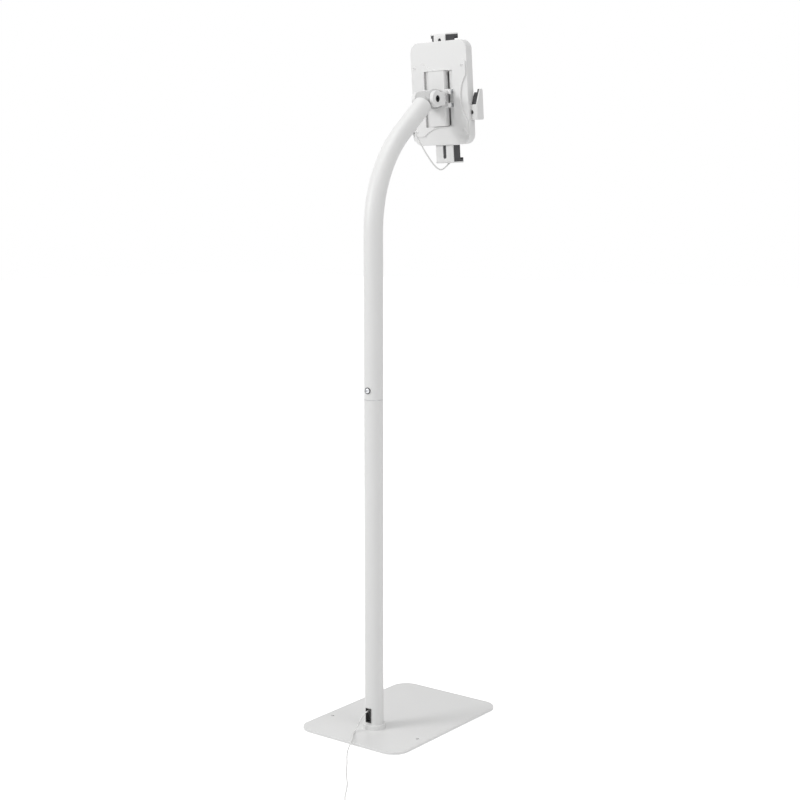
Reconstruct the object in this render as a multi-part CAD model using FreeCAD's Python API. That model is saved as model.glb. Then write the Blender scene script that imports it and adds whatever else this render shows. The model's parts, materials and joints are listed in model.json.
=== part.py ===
import FreeCAD, Part
import math
import os

# Tablet floor stand. Millimetres. The floor is z = 0 and the pole's axis is x = y = 0.
# The stand faces -Y: the base reaches further that way, and so does the arm.

V = FreeCAD.Vector

# Base
SHEET_THICKNESS = 1.0
SHEET_INSET = 5.0
PLATE_WIDTH = 256.0
PLATE_BEHIND = 92.5
PLATE_AHEAD = 265.5
PLATE_THICKNESS = 5.0
PLATE_CORNER_RADIUS = 36.0
PLATE_EDGE_ROUND = 0.8
FLOOR_HOLE_SPACING = 217.0
FLOOR_HOLE_RADIUS = 3.3
SHEET_HOLE_MARGIN = 1.5

# Pole
TUBE_RADIUS = 19.0
TUBE_WALL = 2.0
JOINT_HEIGHT = 668.6
SEAM_GAP = 0.9
SLIP_FIT = 0.1
PLUG_HEIGHT = 13.0
FOOT_SCREW_COUNT = 3
FOOT_SCREW_CIRCLE_RADIUS = 10.0
FOOT_SCREW_RADIUS = 3.0
FOOT_SCREW_LENGTH = 15.0
COLLAR_WALL = 3.4
COLLAR_HEIGHT = 10.0
COLLAR_ROUND = 1.5
SLOT_WIDTH = 13.0
SLOT_HEIGHT = 29.0
SLOT_ABOVE_PLATE = 14.5
GROMMET_WALL = 1.3
GROMMET_LIP = 0.8
SPIGOT_LENGTH = 120.0
SPIGOT_WALL = 3.0
JOINT_SCREW_ABOVE_SEAM = 19.0
JOINT_SCREW_RADIUS = 3.0
JOINT_SCREW_LENGTH = 9.0
JOINT_HEAD_RADIUS = 5.0
JOINT_HEAD_HEIGHT = 2.8
JOINT_WASHER_RADIUS = 6.4
JOINT_WASHER_THICKNESS = 1.0

# Arm
BEND_START_HEIGHT = 997.4
BEND_RADIUS = 254.0
BEND_ANGLE = 50.0
ARM_STRAIGHT = 111.0
ARM_HOLE_ALONG = 36.0
ARM_HOLE_RADIUS = 4.0
ARM_GROMMET_FLANGE = 1.8
ARM_GROMMET_THICKNESS = 1.2

# Tilt joint
BARREL_RADIUS = 16.5
BARREL_LENGTH = 35.0
TUBE_END_CLEARANCE = 3.0
KNUCKLE_PLUG_LENGTH = 25.0
PIN_RADIUS = 4.0
PIN_FIT = 0.06
TILT_WASHER_RADIUS = 14.5
TILT_WASHER_THICKNESS = 0.8
CHEEK_THICKNESS = 8.7
CHEEK_NOSE_HEIGHT = 28.0
BRIDGE_THICKNESS = 8.0
BARREL_TO_BRIDGE = 1.5
CHEEK_ROUND = 1.2
HEAD_RADIUS = 6.5
HEAD_HEIGHT = 5.5
HEAD_POCKET_DEPTH = 6.0
HEAD_POCKET_MARGIN = 0.5
KEY_ACROSS_FLATS = 6.0
KEY_DEPTH = 4.0
NUT_ACROSS_FLATS = 13.0
NUT_HEIGHT = 5.0
SET_SCREW_RADIUS = 3.0
SET_SCREW_SINK = 1.0
SET_SCREW_TO_PIN = 0.3
SET_SCREW_ELEVATION = 17.0

# Rotation joint, measured along the holder's own normal
DISC_RADIUS = 20.5
DISC_THICKNESS = 3.0
FRICTION_WASHER_THICKNESS = 3.0
HUB_PLATE_WIDTH = 70.0
HUB_PLATE_HEIGHT = 38.0
HUB_PLATE_THICKNESS = 3.0
HUB_PLATE_CORNER = 4.0
HUB_NOTCH_DEPTH = 14.0
HUB_NOTCH_HALF_CHORD = 8.0
HUB_SCREW_ACROSS = 60.0
HUB_SCREW_UP = 28.0
HUB_SCREW_RADIUS = 2.0
HUB_SCREW_HEAD_RADIUS = 3.5
HUB_SCREW_HEAD_HEIGHT = 2.2
SPACER_RADIUS = 4.0
LEAN = 5.0

# Holder shell
SHELL_WIDTH = 140.0
SHELL_ABOVE = 115.5
SHELL_BELOW = 93.5
SHELL_DEPTH = 20.0
SHELL_WALL = 2.0
SHELL_CORNER_RADIUS = 20.0
SHELL_EDGE_ROUND = 1.2
WINDOW_WIDTH = 72.0
WINDOW_TO_ARC = 2.0
WINDOW_MARGIN = 1.0
BACK_PLATE_WIDTH = 134.0
BACK_PLATE_HEIGHT = 150.0
BACK_PLATE_THICKNESS = 3.0
BACK_PLATE_CORNER = 6.0
END_ARC_HALF_CHORD = 42.0
END_ARC_DEPTH = 16.5
SIDE_ARC_HALF_CHORD = 45.0
SIDE_ARC_DEPTH = 14.6
BACK_SCREW_INSET_X = 8.0
BACK_SCREW_INSET_Z = 10.0
BACK_SCREW_RADIUS = 2.0
BACK_SCREW_HEAD_RADIUS = 3.5
BACK_SCREW_HEAD_HEIGHT = 1.8
BAR_WIDTH = 38.0
BAR_RISE = 7.0
BAR_WALL = 2.5
BAR_END_GAP = 1.0
FRAME_THICKNESS = 2.0
FRAME_INSET = 1.5
FRAME_SLOT_WIDTH = 5.0
FRAME_SLOT_GAP = 0.5
FRAME_SLOT_TO_WINDOW = 2.0
BED_THICKNESS = 3.5
RAIL_WIDTH = 3.0
RAIL_GAP = 0.4
FRONT_PLATE_GAP = 0.3
FRONT_SCREW_INSET = 11.0
FRONT_SCREW_RADIUS = 1.6
FRONT_SCREW_HEAD_RADIUS = 3.0
POST_RADIUS = 4.0
PAD_THICKNESS = 1.5
PAD_WIDTH = 26.0
PAD_HEIGHT = 14.0

# Clamps
ARM_SHEET = 2.5
ARM_BEND_RADIUS = 4.5
ARM_SLIDE_GAP = 0.3
ARM_SLOT_WIDTH = 8.0
ARM_SLOT_TO_END = 9.0
LINER_THICKNESS = 5.0
TABLET_THICKNESS = 6.2
TABLET_HEIGHT = 247.0
TABLET_WIDTH = 156.0
LIP_REACH = 3.0
LIP_LINER = 0.8
LIP_THICKNESS = 2.0
FLANK_DEPTH = 21.5
JAW_CORNER_RADIUS = 4.0
BLOCK_INSET = 0.8
BLOCK_GAP = 1.0
STOP_GAP = 0.3
MOUTH_GAP = 0.5
TOP_ARM_WIDTH = 28.0
BOTTOM_ARM_WIDTH = 43.0
END_JAW_WIDTH = 65.0
SIDE_ARM_WIDTH = 31.0
SIDE_JAW_WIDTH = 61.5
RIGHT_JAW_LOW = -46.0
LEFT_JAW_HIGH = -22.0
TRAVEL_OUT = 20.0
TOP_LOCK_DISTANCE = 92.0
BOTTOM_LOCK_DISTANCE = 78.0
SIDE_LOCK_DISTANCE = 57.0
ARM_TAIL = 4.0
LOCK_SCREW_RADIUS = 2.5
LOCK_HEAD_RADIUS = 5.0
LOCK_HEAD_HEIGHT = 3.0
LOCK_WASHER_RADIUS = 6.0
LOCK_WASHER_THICKNESS = 0.8

# Charging lead
LEAD_RADIUS = 1.5
LEAD_OFFSET_IN_TUBE = 5.0
COIL_INNER_RADIUS = 11.0
COIL_PITCH = 4.0
COIL_TURNS_PER_LAYER = 3
COIL_START_ANGLE = 41.0
COIL_CENTRE = V(-222.0, 322.0, 0.0)
COIL_END_LENGTH = 13.0
TIE_THICKNESS = 0.8
TIE_GAP = 0.15
TIE_WIDTH = 8.0
CONNECTOR_WIDTH = 12.0
CONNECTOR_LENGTH = 12.0
CONNECTOR_THICKNESS = 7.2
CONNECTOR_FRONT_GAP = 0.4
CONNECTOR_FIT = 0.4
RELIEF_FROM_FRONT = 3.2
RELIEF_SINK = 2.0
RELIEF_LENGTH = 9.0
RELIEF_RADIUS = 2.3
RELIEF_SLOPE = 30.0
TIP_WIDTH = 8.3
TIP_THICKNESS = 2.5
TIP_HEIGHT = 6.5
PLUG_BODY = V(16.0, 24.0, 8.0)
PLUG_SHELL = V(12.0, 13.0, 4.5)
PLUG_SHELL_WALL = 0.5
PLUG_RELIEF_LENGTH = 9.0

# Levels of the base
PLATE_BOTTOM = SHEET_THICKNESS
PLATE_TOP = PLATE_BOTTOM + PLATE_THICKNESS
SLOT_BOTTOM = PLATE_TOP + SLOT_ABOVE_PLATE
SLOT_TOP = SLOT_BOTTOM + SLOT_HEIGHT
TUBE_BORE = TUBE_RADIUS - TUBE_WALL

# Depths in the holder, from the shell's back face towards the user
FRAME_DEPTH = SHELL_WALL
BED_DEPTH = FRAME_DEPTH + FRAME_THICKNESS + BED_THICKNESS
ARM_DEPTH = BED_DEPTH + ARM_SLIDE_GAP
BLOCK_DEPTH = ARM_DEPTH + ARM_SHEET
PAD_FACE = SHELL_DEPTH + PAD_THICKNESS
LIP_INNER = PAD_FACE + TABLET_THICKNESS
LIP_BACK = LIP_INNER + LIP_LINER
JAW_DEPTH = LIP_BACK + LIP_THICKNESS

# Distances behind the shell's back face, towards the arm
BAR_BACK = BACK_PLATE_THICKNESS + BAR_RISE
HUB_BACK = BAR_BACK + HUB_PLATE_THICKNESS
WINDOW_HEIGHT = BACK_PLATE_HEIGHT - 2 * (END_ARC_DEPTH + WINDOW_TO_ARC)
WASHER_BACK = HUB_BACK + FRICTION_WASHER_THICKNESS
DISC_BACK = WASHER_BACK + DISC_THICKNESS
BRIDGE_BACK = DISC_BACK + BRIDGE_THICKNESS
PIVOT_BACK = BRIDGE_BACK + BARREL_TO_BRIDGE + BARREL_RADIUS

# The arm's centreline and the tilt pivot at its end
BEND = math.radians(BEND_ANGLE)
ARM_DIRECTION = V(0, -math.sin(BEND), math.cos(BEND))
ARM_UNDERSIDE = V(0, -math.cos(BEND), -math.sin(BEND))
BEND_END = V(
    0,
    -BEND_RADIUS * (1 - math.cos(BEND)),
    BEND_START_HEIGHT + BEND_RADIUS * math.sin(BEND),
)
PIVOT = BEND_END + ARM_DIRECTION * ARM_STRAIGHT
TUBE_END_TO_PIVOT = BARREL_RADIUS + TUBE_END_CLEARANCE
LEAN_ANGLE = math.radians(LEAN)
HOLDER_FORWARD = V(0, -math.cos(LEAN_ANGLE), math.sin(LEAN_ANGLE))
HOLDER_UP = V(0, math.sin(LEAN_ANGLE), math.cos(LEAN_ANGLE))
HUB = PIVOT + HOLDER_FORWARD * PIVOT_BACK
HOLDER = FreeCAD.Placement(HUB, FreeCAD.Rotation(V(1, 0, 0), -LEAN))

# The route of the lead, chosen by hand
LOWER_ROUTE = [
    V(2.7, 15.0, 43.2),
    V(3.5, 24.5, 42.2),
    V(5.5, 30.5, 36.0),
    V(9.0, 34.0, 26.0),
    V(13.0, 37.5, 14.5),
    V(12.5, 47.0, 8.2),
    V(5.0, 62.0, 7.9),
    V(-6.0, 76.0, 9.6),
    V(-15.0, 88.0, 11.6),
    V(-21.0, 98.5, 11.0),
    V(-25.0, 109.5, 5.6),
    V(-31.0, 122.0, 1.8),
    V(-46.0, 143.0, 1.65),
    V(-70.0, 171.0, 1.6),
    V(-101.0, 212.0, 1.6),
    V(-138.0, 252.0, 1.6),
    V(-168.0, 298.0, 1.7),
]
UPPER_ROUTE = [
    V(0.0, -166.0, 1161.3),
    V(0.0, -184.0, 1145.0),
    V(0.0, -200.5, 1132.2),
    V(0.0, -214.5, 1125.0),
    V(0.0, -226.5, 1123.2),
    V(0.0, -236.5, 1127.0),
]
UPPER_FIRST_RUN = 24.0
UPPER_LAST_RUN = 9.0


def box(x0, x1, y0, y1, z0, z1):
    return Part.makeBox(x1 - x0, y1 - y0, z1 - z0, V(x0, y0, z0))


def cylinder(radius, start, end):
    axis = end - start
    return Part.makeCylinder(radius, axis.Length, start, axis)


def tube(outer, inner, start, end):
    return cylinder(outer, start, end).cut(cylinder(inner, start, end))


def hexagon(across_flats, start, end):
    axis = end - start
    radius = across_flats / math.sqrt(3)
    corners = [
        V(radius * math.cos(math.radians(60 * i)), radius * math.sin(math.radians(60 * i)), 0)
        for i in range(7)
    ]
    prism = Part.Face(Part.makePolygon(corners)).extrude(V(0, 0, axis.Length))
    prism.Placement = FreeCAD.Placement(start, FreeCAD.Rotation(V(0, 0, 1), axis))
    return prism


def rounded_outline(x0, x1, z0, z1, radius):
    """A closed rounded rectangle in the XZ plane."""
    corners = [(x1, z0, -90), (x1, z1, 0), (x0, z1, 90), (x0, z0, 180)]
    edges = []
    last = None
    first = None
    for x, z, start in corners:
        centre_x = x - radius if x == x1 else x + radius
        centre_z = z + radius if z == z0 else z - radius
        points = []
        for part in (0, 45, 90):
            angle = math.radians(start + part)
            points.append(V(centre_x + radius * math.cos(angle), 0, centre_z + radius * math.sin(angle)))
        if last is not None:
            edges.append(Part.LineSegment(last, points[0]).toShape())
        else:
            first = points[0]
        edges.append(Part.Arc(*points).toShape())
        last = points[2]
    edges.append(Part.LineSegment(last, first).toShape())
    return Part.Wire(edges)


def slab(x0, x1, z0, z1, radius, back, front):
    """A rounded plate of the holder, from the depth back to the depth front."""
    face = Part.Face(rounded_outline(x0, x1, z0, z1, radius))
    face.translate(V(0, -back, 0))
    return face.extrude(V(0, -(front - back), 0))


def floor_slab(inset, radius, z0, z1):
    """A rounded plate that lies on the floor, like the base."""
    half = PLATE_WIDTH / 2 - inset
    ahead = PLATE_AHEAD - inset
    behind = PLATE_BEHIND - inset
    plate = slab(-half, half, -ahead, behind, radius, 0, z1 - z0)
    plate.Placement = FreeCAD.Placement(V(0, 0, z0), FreeCAD.Rotation(V(1, 0, 0), -90))
    return plate


def solids(shape):
    return shape.Solids if shape.Solids else [shape]


def export(node, *shapes, holder=False):
    pieces = []
    for shape in shapes:
        for piece in solids(shape):
            piece = piece.copy()
            if holder:
                piece.Placement = HOLDER.multiply(piece.Placement)
            pieces.append(piece)
    whole = pieces[0] if len(pieces) == 1 else Part.makeCompound(pieces)
    whole.exportStep(f"parts/{node}.step")


def outer_edges(shape, axis, level, longest_axis_span):
    """Edges that lie at one level along an axis and belong to the outline."""
    chosen = []
    for edge in shape.Edges:
        low = getattr(edge.BoundBox, axis + "Min")
        high = getattr(edge.BoundBox, axis + "Max")
        if abs(low - level) < 1e-4 and abs(high - level) < 1e-4:
            if edge.BoundBox.DiagonalLength > longest_axis_span:
                chosen.append(edge)
    return chosen


def countersunk_screw(radius, length, base, axis):
    head = Part.makeCone(radius * 1.9, radius, radius * 0.9, base, axis)
    return head.fuse(Part.makeCylinder(radius, length, base, axis)).removeSplitter()


def dome_screw(radius, length, head_radius, head_height, seat, axis):
    """A screw whose shank runs along axis from its seat, with a domed head behind it."""
    crown = (head_radius ** 2 + head_height ** 2) / (2 * head_height)
    ball = Part.makeSphere(crown, seat + axis * (crown - head_height))
    head = Part.makeCylinder(head_radius, head_height, seat, axis * -1).common(ball)
    key = hexagon(head_radius * 0.8, seat - axis * head_height * 1.1, seat - axis * head_height * 0.35)
    return head.fuse(Part.makeCylinder(radius, length, seat, axis)).cut(key)


def tangent_arc(before, corner, after, radius):
    """The arc that rounds one corner of a route, as its start, middle and end."""
    into = (corner - before).normalize()
    out = (after - corner).normalize()
    turn = into.getAngle(out)
    reach = radius * math.tan(turn / 2)
    start = corner - into * reach
    end = corner + out * reach
    inward = (out - into).normalize()
    centre = corner + inward * (radius / math.cos(turn / 2))
    return start, centre - inward * radius, end


def route_wire(points, radii):
    edges = []
    last = points[0]
    for i in range(1, len(points) - 1):
        start, middle, end = tangent_arc(points[i - 1], points[i], points[i + 1], radii[i - 1])
        edges.append(Part.LineSegment(last, start).toShape())
        edges.append(Part.Arc(start, middle, end).toShape())
        last = end
    edges.append(Part.LineSegment(last, points[-1]).toShape())
    return Part.Wire(edges)


def cord_radii(points):
    radii = []
    for before, corner, after in zip(points, points[1:], points[2:]):
        shorter = min((corner - before).Length, (after - corner).Length)
        turn = (corner - before).getAngle(after - corner)
        radii.append(0.45 * shorter / math.tan(turn / 2))
    return radii


def cord_along(wire, name):
    """A round tube along a wire, with its volume compared with section times length."""
    start = wire.OrderedVertexes[0].Point
    first = wire.OrderedEdges[0]
    heading = first.tangentAt(first.FirstParameter)
    profile = Part.Wire(Part.makeCircle(LEAD_RADIUS, start, heading))
    cord = wire.makePipeShell([profile], True, False)
    ideal = math.pi * LEAD_RADIUS ** 2 * wire.Length
    print(f"{name}: length {wire.Length:.1f} mm, volume over ideal {cord.Volume / ideal:.4f}")
    return cord


def biarc(start, heading, end, heading_end):
    """Two arcs that leave start along heading and reach end along heading_end."""
    chord = end - start
    total = heading + heading_end
    a = 2 * (heading.dot(heading_end) - 1)
    b = -2 * chord.dot(total)
    c = chord.dot(chord)
    if abs(a) < 1e-9:
        reach = -c / b
    else:
        reach = (-b - math.sqrt(b * b - 4 * a * c)) / (2 * a)
    near = start + heading * reach
    far = end - heading_end * reach
    joint = (near + far) * 0.5
    return [arc_from(start, near, joint), arc_from(joint, far, end)]


def arc_from(start, corner, end):
    """An arc between two points that touches the lines to their common corner."""
    into = (corner - start).normalize()
    out = (end - corner).normalize()
    turn = into.getAngle(out)
    if turn < 1e-7:
        return Part.LineSegment(start, end).toShape()
    radius = (corner - start).Length / math.tan(turn / 2)
    inward = (out - into).normalize()
    centre = corner + inward * (radius / math.cos(turn / 2))
    return Part.Arc(start, centre - inward * radius, end).toShape()


def base_pieces():
    radius = PLATE_CORNER_RADIUS
    sheet = floor_slab(SHEET_INSET, radius - SHEET_INSET, 0, PLATE_BOTTOM)
    plate = floor_slab(0, radius, PLATE_BOTTOM, PLATE_TOP)
    plate = plate.makeFillet(PLATE_EDGE_ROUND, outer_edges(plate, "Z", PLATE_TOP, radius))
    for side in (-1, 1):
        x = side * FLOOR_HOLE_SPACING / 2
        top = V(x, 0, PLATE_TOP)
        plate = plate.cut(cylinder(FLOOR_HOLE_RADIUS, V(x, 0, 0), top))
        sheet = sheet.cut(cylinder(FLOOR_HOLE_RADIUS + SHEET_HOLE_MARGIN, V(x, 0, 0), top))
    plug = cylinder(TUBE_BORE - SLIP_FIT, V(0, 0, PLATE_TOP), V(0, 0, PLATE_TOP + PLUG_HEIGHT))
    screws = []
    for i in range(FOOT_SCREW_COUNT):
        angle = math.radians(90 + 360 * i / FOOT_SCREW_COUNT)
        x = FOOT_SCREW_CIRCLE_RADIUS * math.cos(angle)
        y = FOOT_SCREW_CIRCLE_RADIUS * math.sin(angle)
        base = V(x, y, PLATE_BOTTOM)
        screw = countersunk_screw(FOOT_SCREW_RADIUS, FOOT_SCREW_LENGTH, base, V(0, 0, 1))
        plate = plate.cut(screw)
        plug = plug.cut(screw)
        screws.append(screw)
    export("anti_slip_sheet", sheet)
    export("base_plate", plate)
    export("foot_plug", plug)
    export("foot_screws", *screws)


def collar_piece():
    top = PLATE_TOP + COLLAR_HEIGHT
    collar = cylinder(TUBE_RADIUS + COLLAR_WALL, V(0, 0, PLATE_TOP), V(0, 0, top))
    collar = collar.makeFillet(COLLAR_ROUND, outer_edges(collar, "Z", top, TUBE_RADIUS))
    collar = collar.cut(cylinder(TUBE_RADIUS + SLIP_FIT, V(0, 0, PLATE_TOP), V(0, 0, top)))
    export("foot_collar", collar)


def slot_block(margin, y0, y1):
    return box(
        -SLOT_WIDTH / 2 - margin,
        SLOT_WIDTH / 2 + margin,
        y0,
        y1,
        SLOT_BOTTOM - margin,
        SLOT_TOP + margin,
    )


def lower_pole_pieces():
    lower = tube(TUBE_RADIUS, TUBE_BORE, V(0, 0, PLATE_TOP), V(0, 0, JOINT_HEIGHT))
    lower = lower.cut(slot_block(0, 0, TUBE_RADIUS + 1))
    flange_margin = GROMMET_WALL
    inside = math.sqrt(TUBE_BORE ** 2 - (SLOT_WIDTH / 2 + flange_margin) ** 2)
    lining = slot_block(-SLIP_FIT, inside - GROMMET_WALL, TUBE_RADIUS + GROMMET_LIP)
    flange = slot_block(flange_margin, inside - GROMMET_WALL, inside)
    hole = slot_block(-GROMMET_WALL - SLIP_FIT, 0, TUBE_RADIUS + GROMMET_LIP + 1)
    export("lower_pole", lower)
    export("slot_grommet", lining.fuse(flange).removeSplitter().cut(hole))


def joint_screw_seat():
    return V(0, TUBE_RADIUS + JOINT_WASHER_THICKNESS, JOINT_HEIGHT + JOINT_SCREW_ABOVE_SEAM)


def joint_pieces():
    half = SPIGOT_LENGTH / 2
    outer = TUBE_BORE - SLIP_FIT
    inner = outer - SPIGOT_WALL
    spigot = tube(outer, inner, V(0, 0, JOINT_HEIGHT - half), V(0, 0, JOINT_HEIGHT + half))
    seat = joint_screw_seat()
    screw = dome_screw(
        JOINT_SCREW_RADIUS, JOINT_SCREW_LENGTH, JOINT_HEAD_RADIUS, JOINT_HEAD_HEIGHT, seat, V(0, -1, 0)
    )
    spigot = spigot.cut(cylinder(JOINT_SCREW_RADIUS, seat, V(0, 0, seat.z)))
    washer = tube(JOINT_WASHER_RADIUS, JOINT_SCREW_RADIUS + SLIP_FIT, V(0, 0, seat.z), seat)
    washer = washer.cut(cylinder(TUBE_RADIUS, V(0, 0, seat.z - 20), V(0, 0, seat.z + 20)))
    export("joint_spigot", spigot)
    export("joint_screw", screw)
    export("joint_washer", washer)


def bent_ring(outer, inner):
    """The upper pole's tube: a straight stretch, the bend and the inclined stretch."""
    foot = V(0, 0, JOINT_HEIGHT + SEAM_GAP)
    start = V(0, 0, BEND_START_HEIGHT)
    end = PIVOT - ARM_DIRECTION * TUBE_END_TO_PIVOT
    section = Part.Face([Part.Wire(Part.makeCircle(outer, start)), Part.Wire(Part.makeCircle(inner, start))])
    bend = section.revolve(V(0, -BEND_RADIUS, BEND_START_HEIGHT), V(1, 0, 0), BEND_ANGLE)
    pieces = [tube(outer, inner, foot, start), bend, tube(outer, inner, BEND_END, end)]
    return pieces[0].multiFuse(pieces[1:]).removeSplitter()


def arm_hole_centre():
    return BEND_END + ARM_DIRECTION * ARM_HOLE_ALONG


def upper_pole_pieces():
    upper = bent_ring(TUBE_RADIUS, TUBE_BORE)
    seat = joint_screw_seat()
    upper = upper.cut(cylinder(JOINT_SCREW_RADIUS + SLIP_FIT, V(0, 0, seat.z), seat))
    centre = arm_hole_centre()
    upper = upper.cut(cylinder(ARM_HOLE_RADIUS, centre, centre + ARM_UNDERSIDE * (TUBE_RADIUS + 5)))
    bore = LEAD_RADIUS + SLIP_FIT
    inside = centre + ARM_UNDERSIDE * (TUBE_BORE - ARM_GROMMET_THICKNESS)
    outside = centre + ARM_UNDERSIDE * (TUBE_RADIUS + ARM_GROMMET_THICKNESS)
    sleeve = tube(ARM_HOLE_RADIUS - SLIP_FIT, bore, inside, outside)
    flange = tube(ARM_HOLE_RADIUS + ARM_GROMMET_FLANGE, bore, centre + ARM_UNDERSIDE * (TUBE_BORE - 2), outside)
    skin_start = centre - ARM_DIRECTION * 20
    flange = flange.cut(cylinder(TUBE_RADIUS, skin_start, skin_start + ARM_DIRECTION * 40))
    export("upper_pole", upper)
    export("arm_grommet", sleeve.fuse(flange).removeSplitter())


def at_pivot(x, elevation, distance):
    """A point beside the tilt pivot: elevation is measured from +Y up."""
    angle = math.radians(elevation)
    return PIVOT + V(x, distance * math.cos(angle), distance * math.sin(angle))


def knuckle_pieces():
    half = BARREL_LENGTH / 2
    barrel = cylinder(BARREL_RADIUS, PIVOT - V(half, 0, 0), PIVOT + V(half, 0, 0))
    tube_end = PIVOT - ARM_DIRECTION * TUBE_END_TO_PIVOT
    neck = cylinder(BARREL_RADIUS, tube_end, PIVOT)
    plug = cylinder(TUBE_BORE - SLIP_FIT, tube_end - ARM_DIRECTION * KNUCKLE_PLUG_LENGTH, tube_end)
    cap = cylinder(TUBE_RADIUS, tube_end, tube_end + ARM_DIRECTION * 1.2)
    knuckle = barrel.multiFuse([neck, plug, cap]).removeSplitter()
    pin = cylinder(PIN_RADIUS + PIN_FIT, PIVOT - V(half + 1, 0, 0), PIVOT + V(half + 1, 0, 0))
    knuckle = knuckle.cut(pin)
    mouth = at_pivot(0, SET_SCREW_ELEVATION, BARREL_RADIUS + 1)
    foot = at_pivot(0, SET_SCREW_ELEVATION, PIN_RADIUS + SET_SCREW_TO_PIN)
    seat = at_pivot(0, SET_SCREW_ELEVATION, BARREL_RADIUS - SET_SCREW_SINK)
    knuckle = knuckle.cut(cylinder(SET_SCREW_RADIUS, foot, mouth))
    socket = hexagon(SET_SCREW_RADIUS, seat + (foot - seat) * 0.4, seat)
    export("tilt_knuckle", knuckle)
    export("tilt_set_screw", cylinder(SET_SCREW_RADIUS, foot, seat).cut(socket))


def cheek(side):
    """One cheek of the yoke in the holder's frame: a round end and a nose to the bridge."""
    inner = BARREL_LENGTH / 2 + TILT_WASHER_THICKNESS
    outer = inner + CHEEK_THICKNESS
    x0 = min(side * inner, side * outer)
    x1 = max(side * inner, side * outer)
    round_end = cylinder(BARREL_RADIUS, V(x0, PIVOT_BACK, 0), V(x1, PIVOT_BACK, 0))
    half = CHEEK_NOSE_HEIGHT / 2
    nose = box(x0, x1, DISC_BACK, PIVOT_BACK, -half, half)
    return round_end.fuse(nose)


def yoke_pieces():
    inner = BARREL_LENGTH / 2 + TILT_WASHER_THICKNESS
    outer = inner + CHEEK_THICKNESS
    half = CHEEK_NOSE_HEIGHT / 2
    bridge = box(-outer, outer, DISC_BACK, BRIDGE_BACK, -half, half)
    yoke = bridge.multiFuse([cheek(-1), cheek(1)]).removeSplitter()
    rims = outer_edges(yoke, "X", -outer, 1) + outer_edges(yoke, "X", outer, 1)
    yoke = yoke.makeFillet(CHEEK_ROUND, rims)
    pivot = V(0, PIVOT_BACK, 0)
    bore = PIN_RADIUS + PIN_FIT
    yoke = yoke.cut(cylinder(bore, pivot - V(outer + 1, 0, 0), pivot + V(outer + 1, 0, 0)))
    pocket = HEAD_RADIUS + HEAD_POCKET_MARGIN
    nut_pocket = NUT_ACROSS_FLATS / math.sqrt(3) + HEAD_POCKET_MARGIN
    pocket_floor = outer - HEAD_POCKET_DEPTH
    yoke = yoke.cut(cylinder(pocket, V(-outer - 1, PIVOT_BACK, 0), V(-pocket_floor, PIVOT_BACK, 0)))
    yoke = yoke.cut(cylinder(nut_pocket, V(pocket_floor, PIVOT_BACK, 0), V(outer + 1, PIVOT_BACK, 0)))
    head_seat = BRIDGE_BACK - HEAD_POCKET_DEPTH + 1.5
    yoke = yoke.cut(cylinder(pocket, V(0, head_seat, 0), V(0, BRIDGE_BACK + 1, 0)))
    yoke = yoke.cut(cylinder(bore, V(0, 0, 0), V(0, BRIDGE_BACK, 0)))
    head_end = pocket_floor + HEAD_HEIGHT
    head = cylinder(HEAD_RADIUS, V(-head_end, PIVOT_BACK, 0), V(-pocket_floor, PIVOT_BACK, 0))
    shank = cylinder(PIN_RADIUS, V(-pocket_floor, PIVOT_BACK, 0), V(outer - 0.5, PIVOT_BACK, 0))
    key = hexagon(KEY_ACROSS_FLATS, V(KEY_DEPTH - head_end, PIVOT_BACK, 0), V(-head_end - 1, PIVOT_BACK, 0))
    nut = hexagon(NUT_ACROSS_FLATS, V(pocket_floor, PIVOT_BACK, 0), V(pocket_floor + NUT_HEIGHT, PIVOT_BACK, 0))
    nut = nut.cut(cylinder(PIN_RADIUS, V(pocket_floor, PIVOT_BACK, 0), V(outer, PIVOT_BACK, 0)))
    washers = []
    for side in (-1, 1):
        start = V(side * BARREL_LENGTH / 2, PIVOT_BACK, 0)
        end = V(side * inner, PIVOT_BACK, 0)
        washers.append(tube(TILT_WASHER_RADIUS, bore, start, end))
    export("tilt_yoke", yoke, holder=True)
    export("tilt_bolt", head.fuse(shank).removeSplitter().cut(key), holder=True)
    export("tilt_nut", nut, holder=True)
    export("tilt_washers", *washers, holder=True)
    return head_seat


def rotation_pieces(head_seat):
    bore = PIN_RADIUS + PIN_FIT
    disc = tube(DISC_RADIUS, bore, V(0, WASHER_BACK, 0), V(0, DISC_BACK, 0))
    washer = tube(DISC_RADIUS - 1.0, bore, V(0, HUB_BACK, 0), V(0, WASHER_BACK, 0))
    nut_end = BAR_BACK - BAR_WALL - LOCK_WASHER_THICKNESS
    head_top = head_seat + BARREL_TO_BRIDGE + 3.0
    head = cylinder(HEAD_RADIUS, V(0, head_seat, 0), V(0, head_top, 0))
    shank = cylinder(PIN_RADIUS, V(0, nut_end - NUT_HEIGHT, 0), V(0, head_seat, 0))
    key = hexagon(KEY_ACROSS_FLATS, V(0, head_top - 2.5, 0), V(0, head_top + 1, 0))
    nut = hexagon(NUT_ACROSS_FLATS, V(0, nut_end - NUT_HEIGHT, 0), V(0, nut_end, 0))
    nut = nut.cut(cylinder(PIN_RADIUS, V(0, nut_end - NUT_HEIGHT, 0), V(0, nut_end, 0)))
    spring = tube(HEAD_RADIUS, bore, V(0, nut_end, 0), V(0, BAR_BACK - BAR_WALL, 0))
    export("rotation_disc", disc, holder=True)
    export("rotation_washer", washer, holder=True)
    export("rotation_bolt", head.fuse(shank).removeSplitter().cut(key), holder=True)
    export("rotation_nut", nut, holder=True)
    export("rotation_spring_washer", spring, holder=True)


def arc_radius(half_chord, depth):
    return (half_chord ** 2 + depth ** 2) / (2 * depth)


def corners(across, up):
    return [(x * across / 2, z * up / 2) for x in (-1, 1) for z in (-1, 1)]


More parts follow.
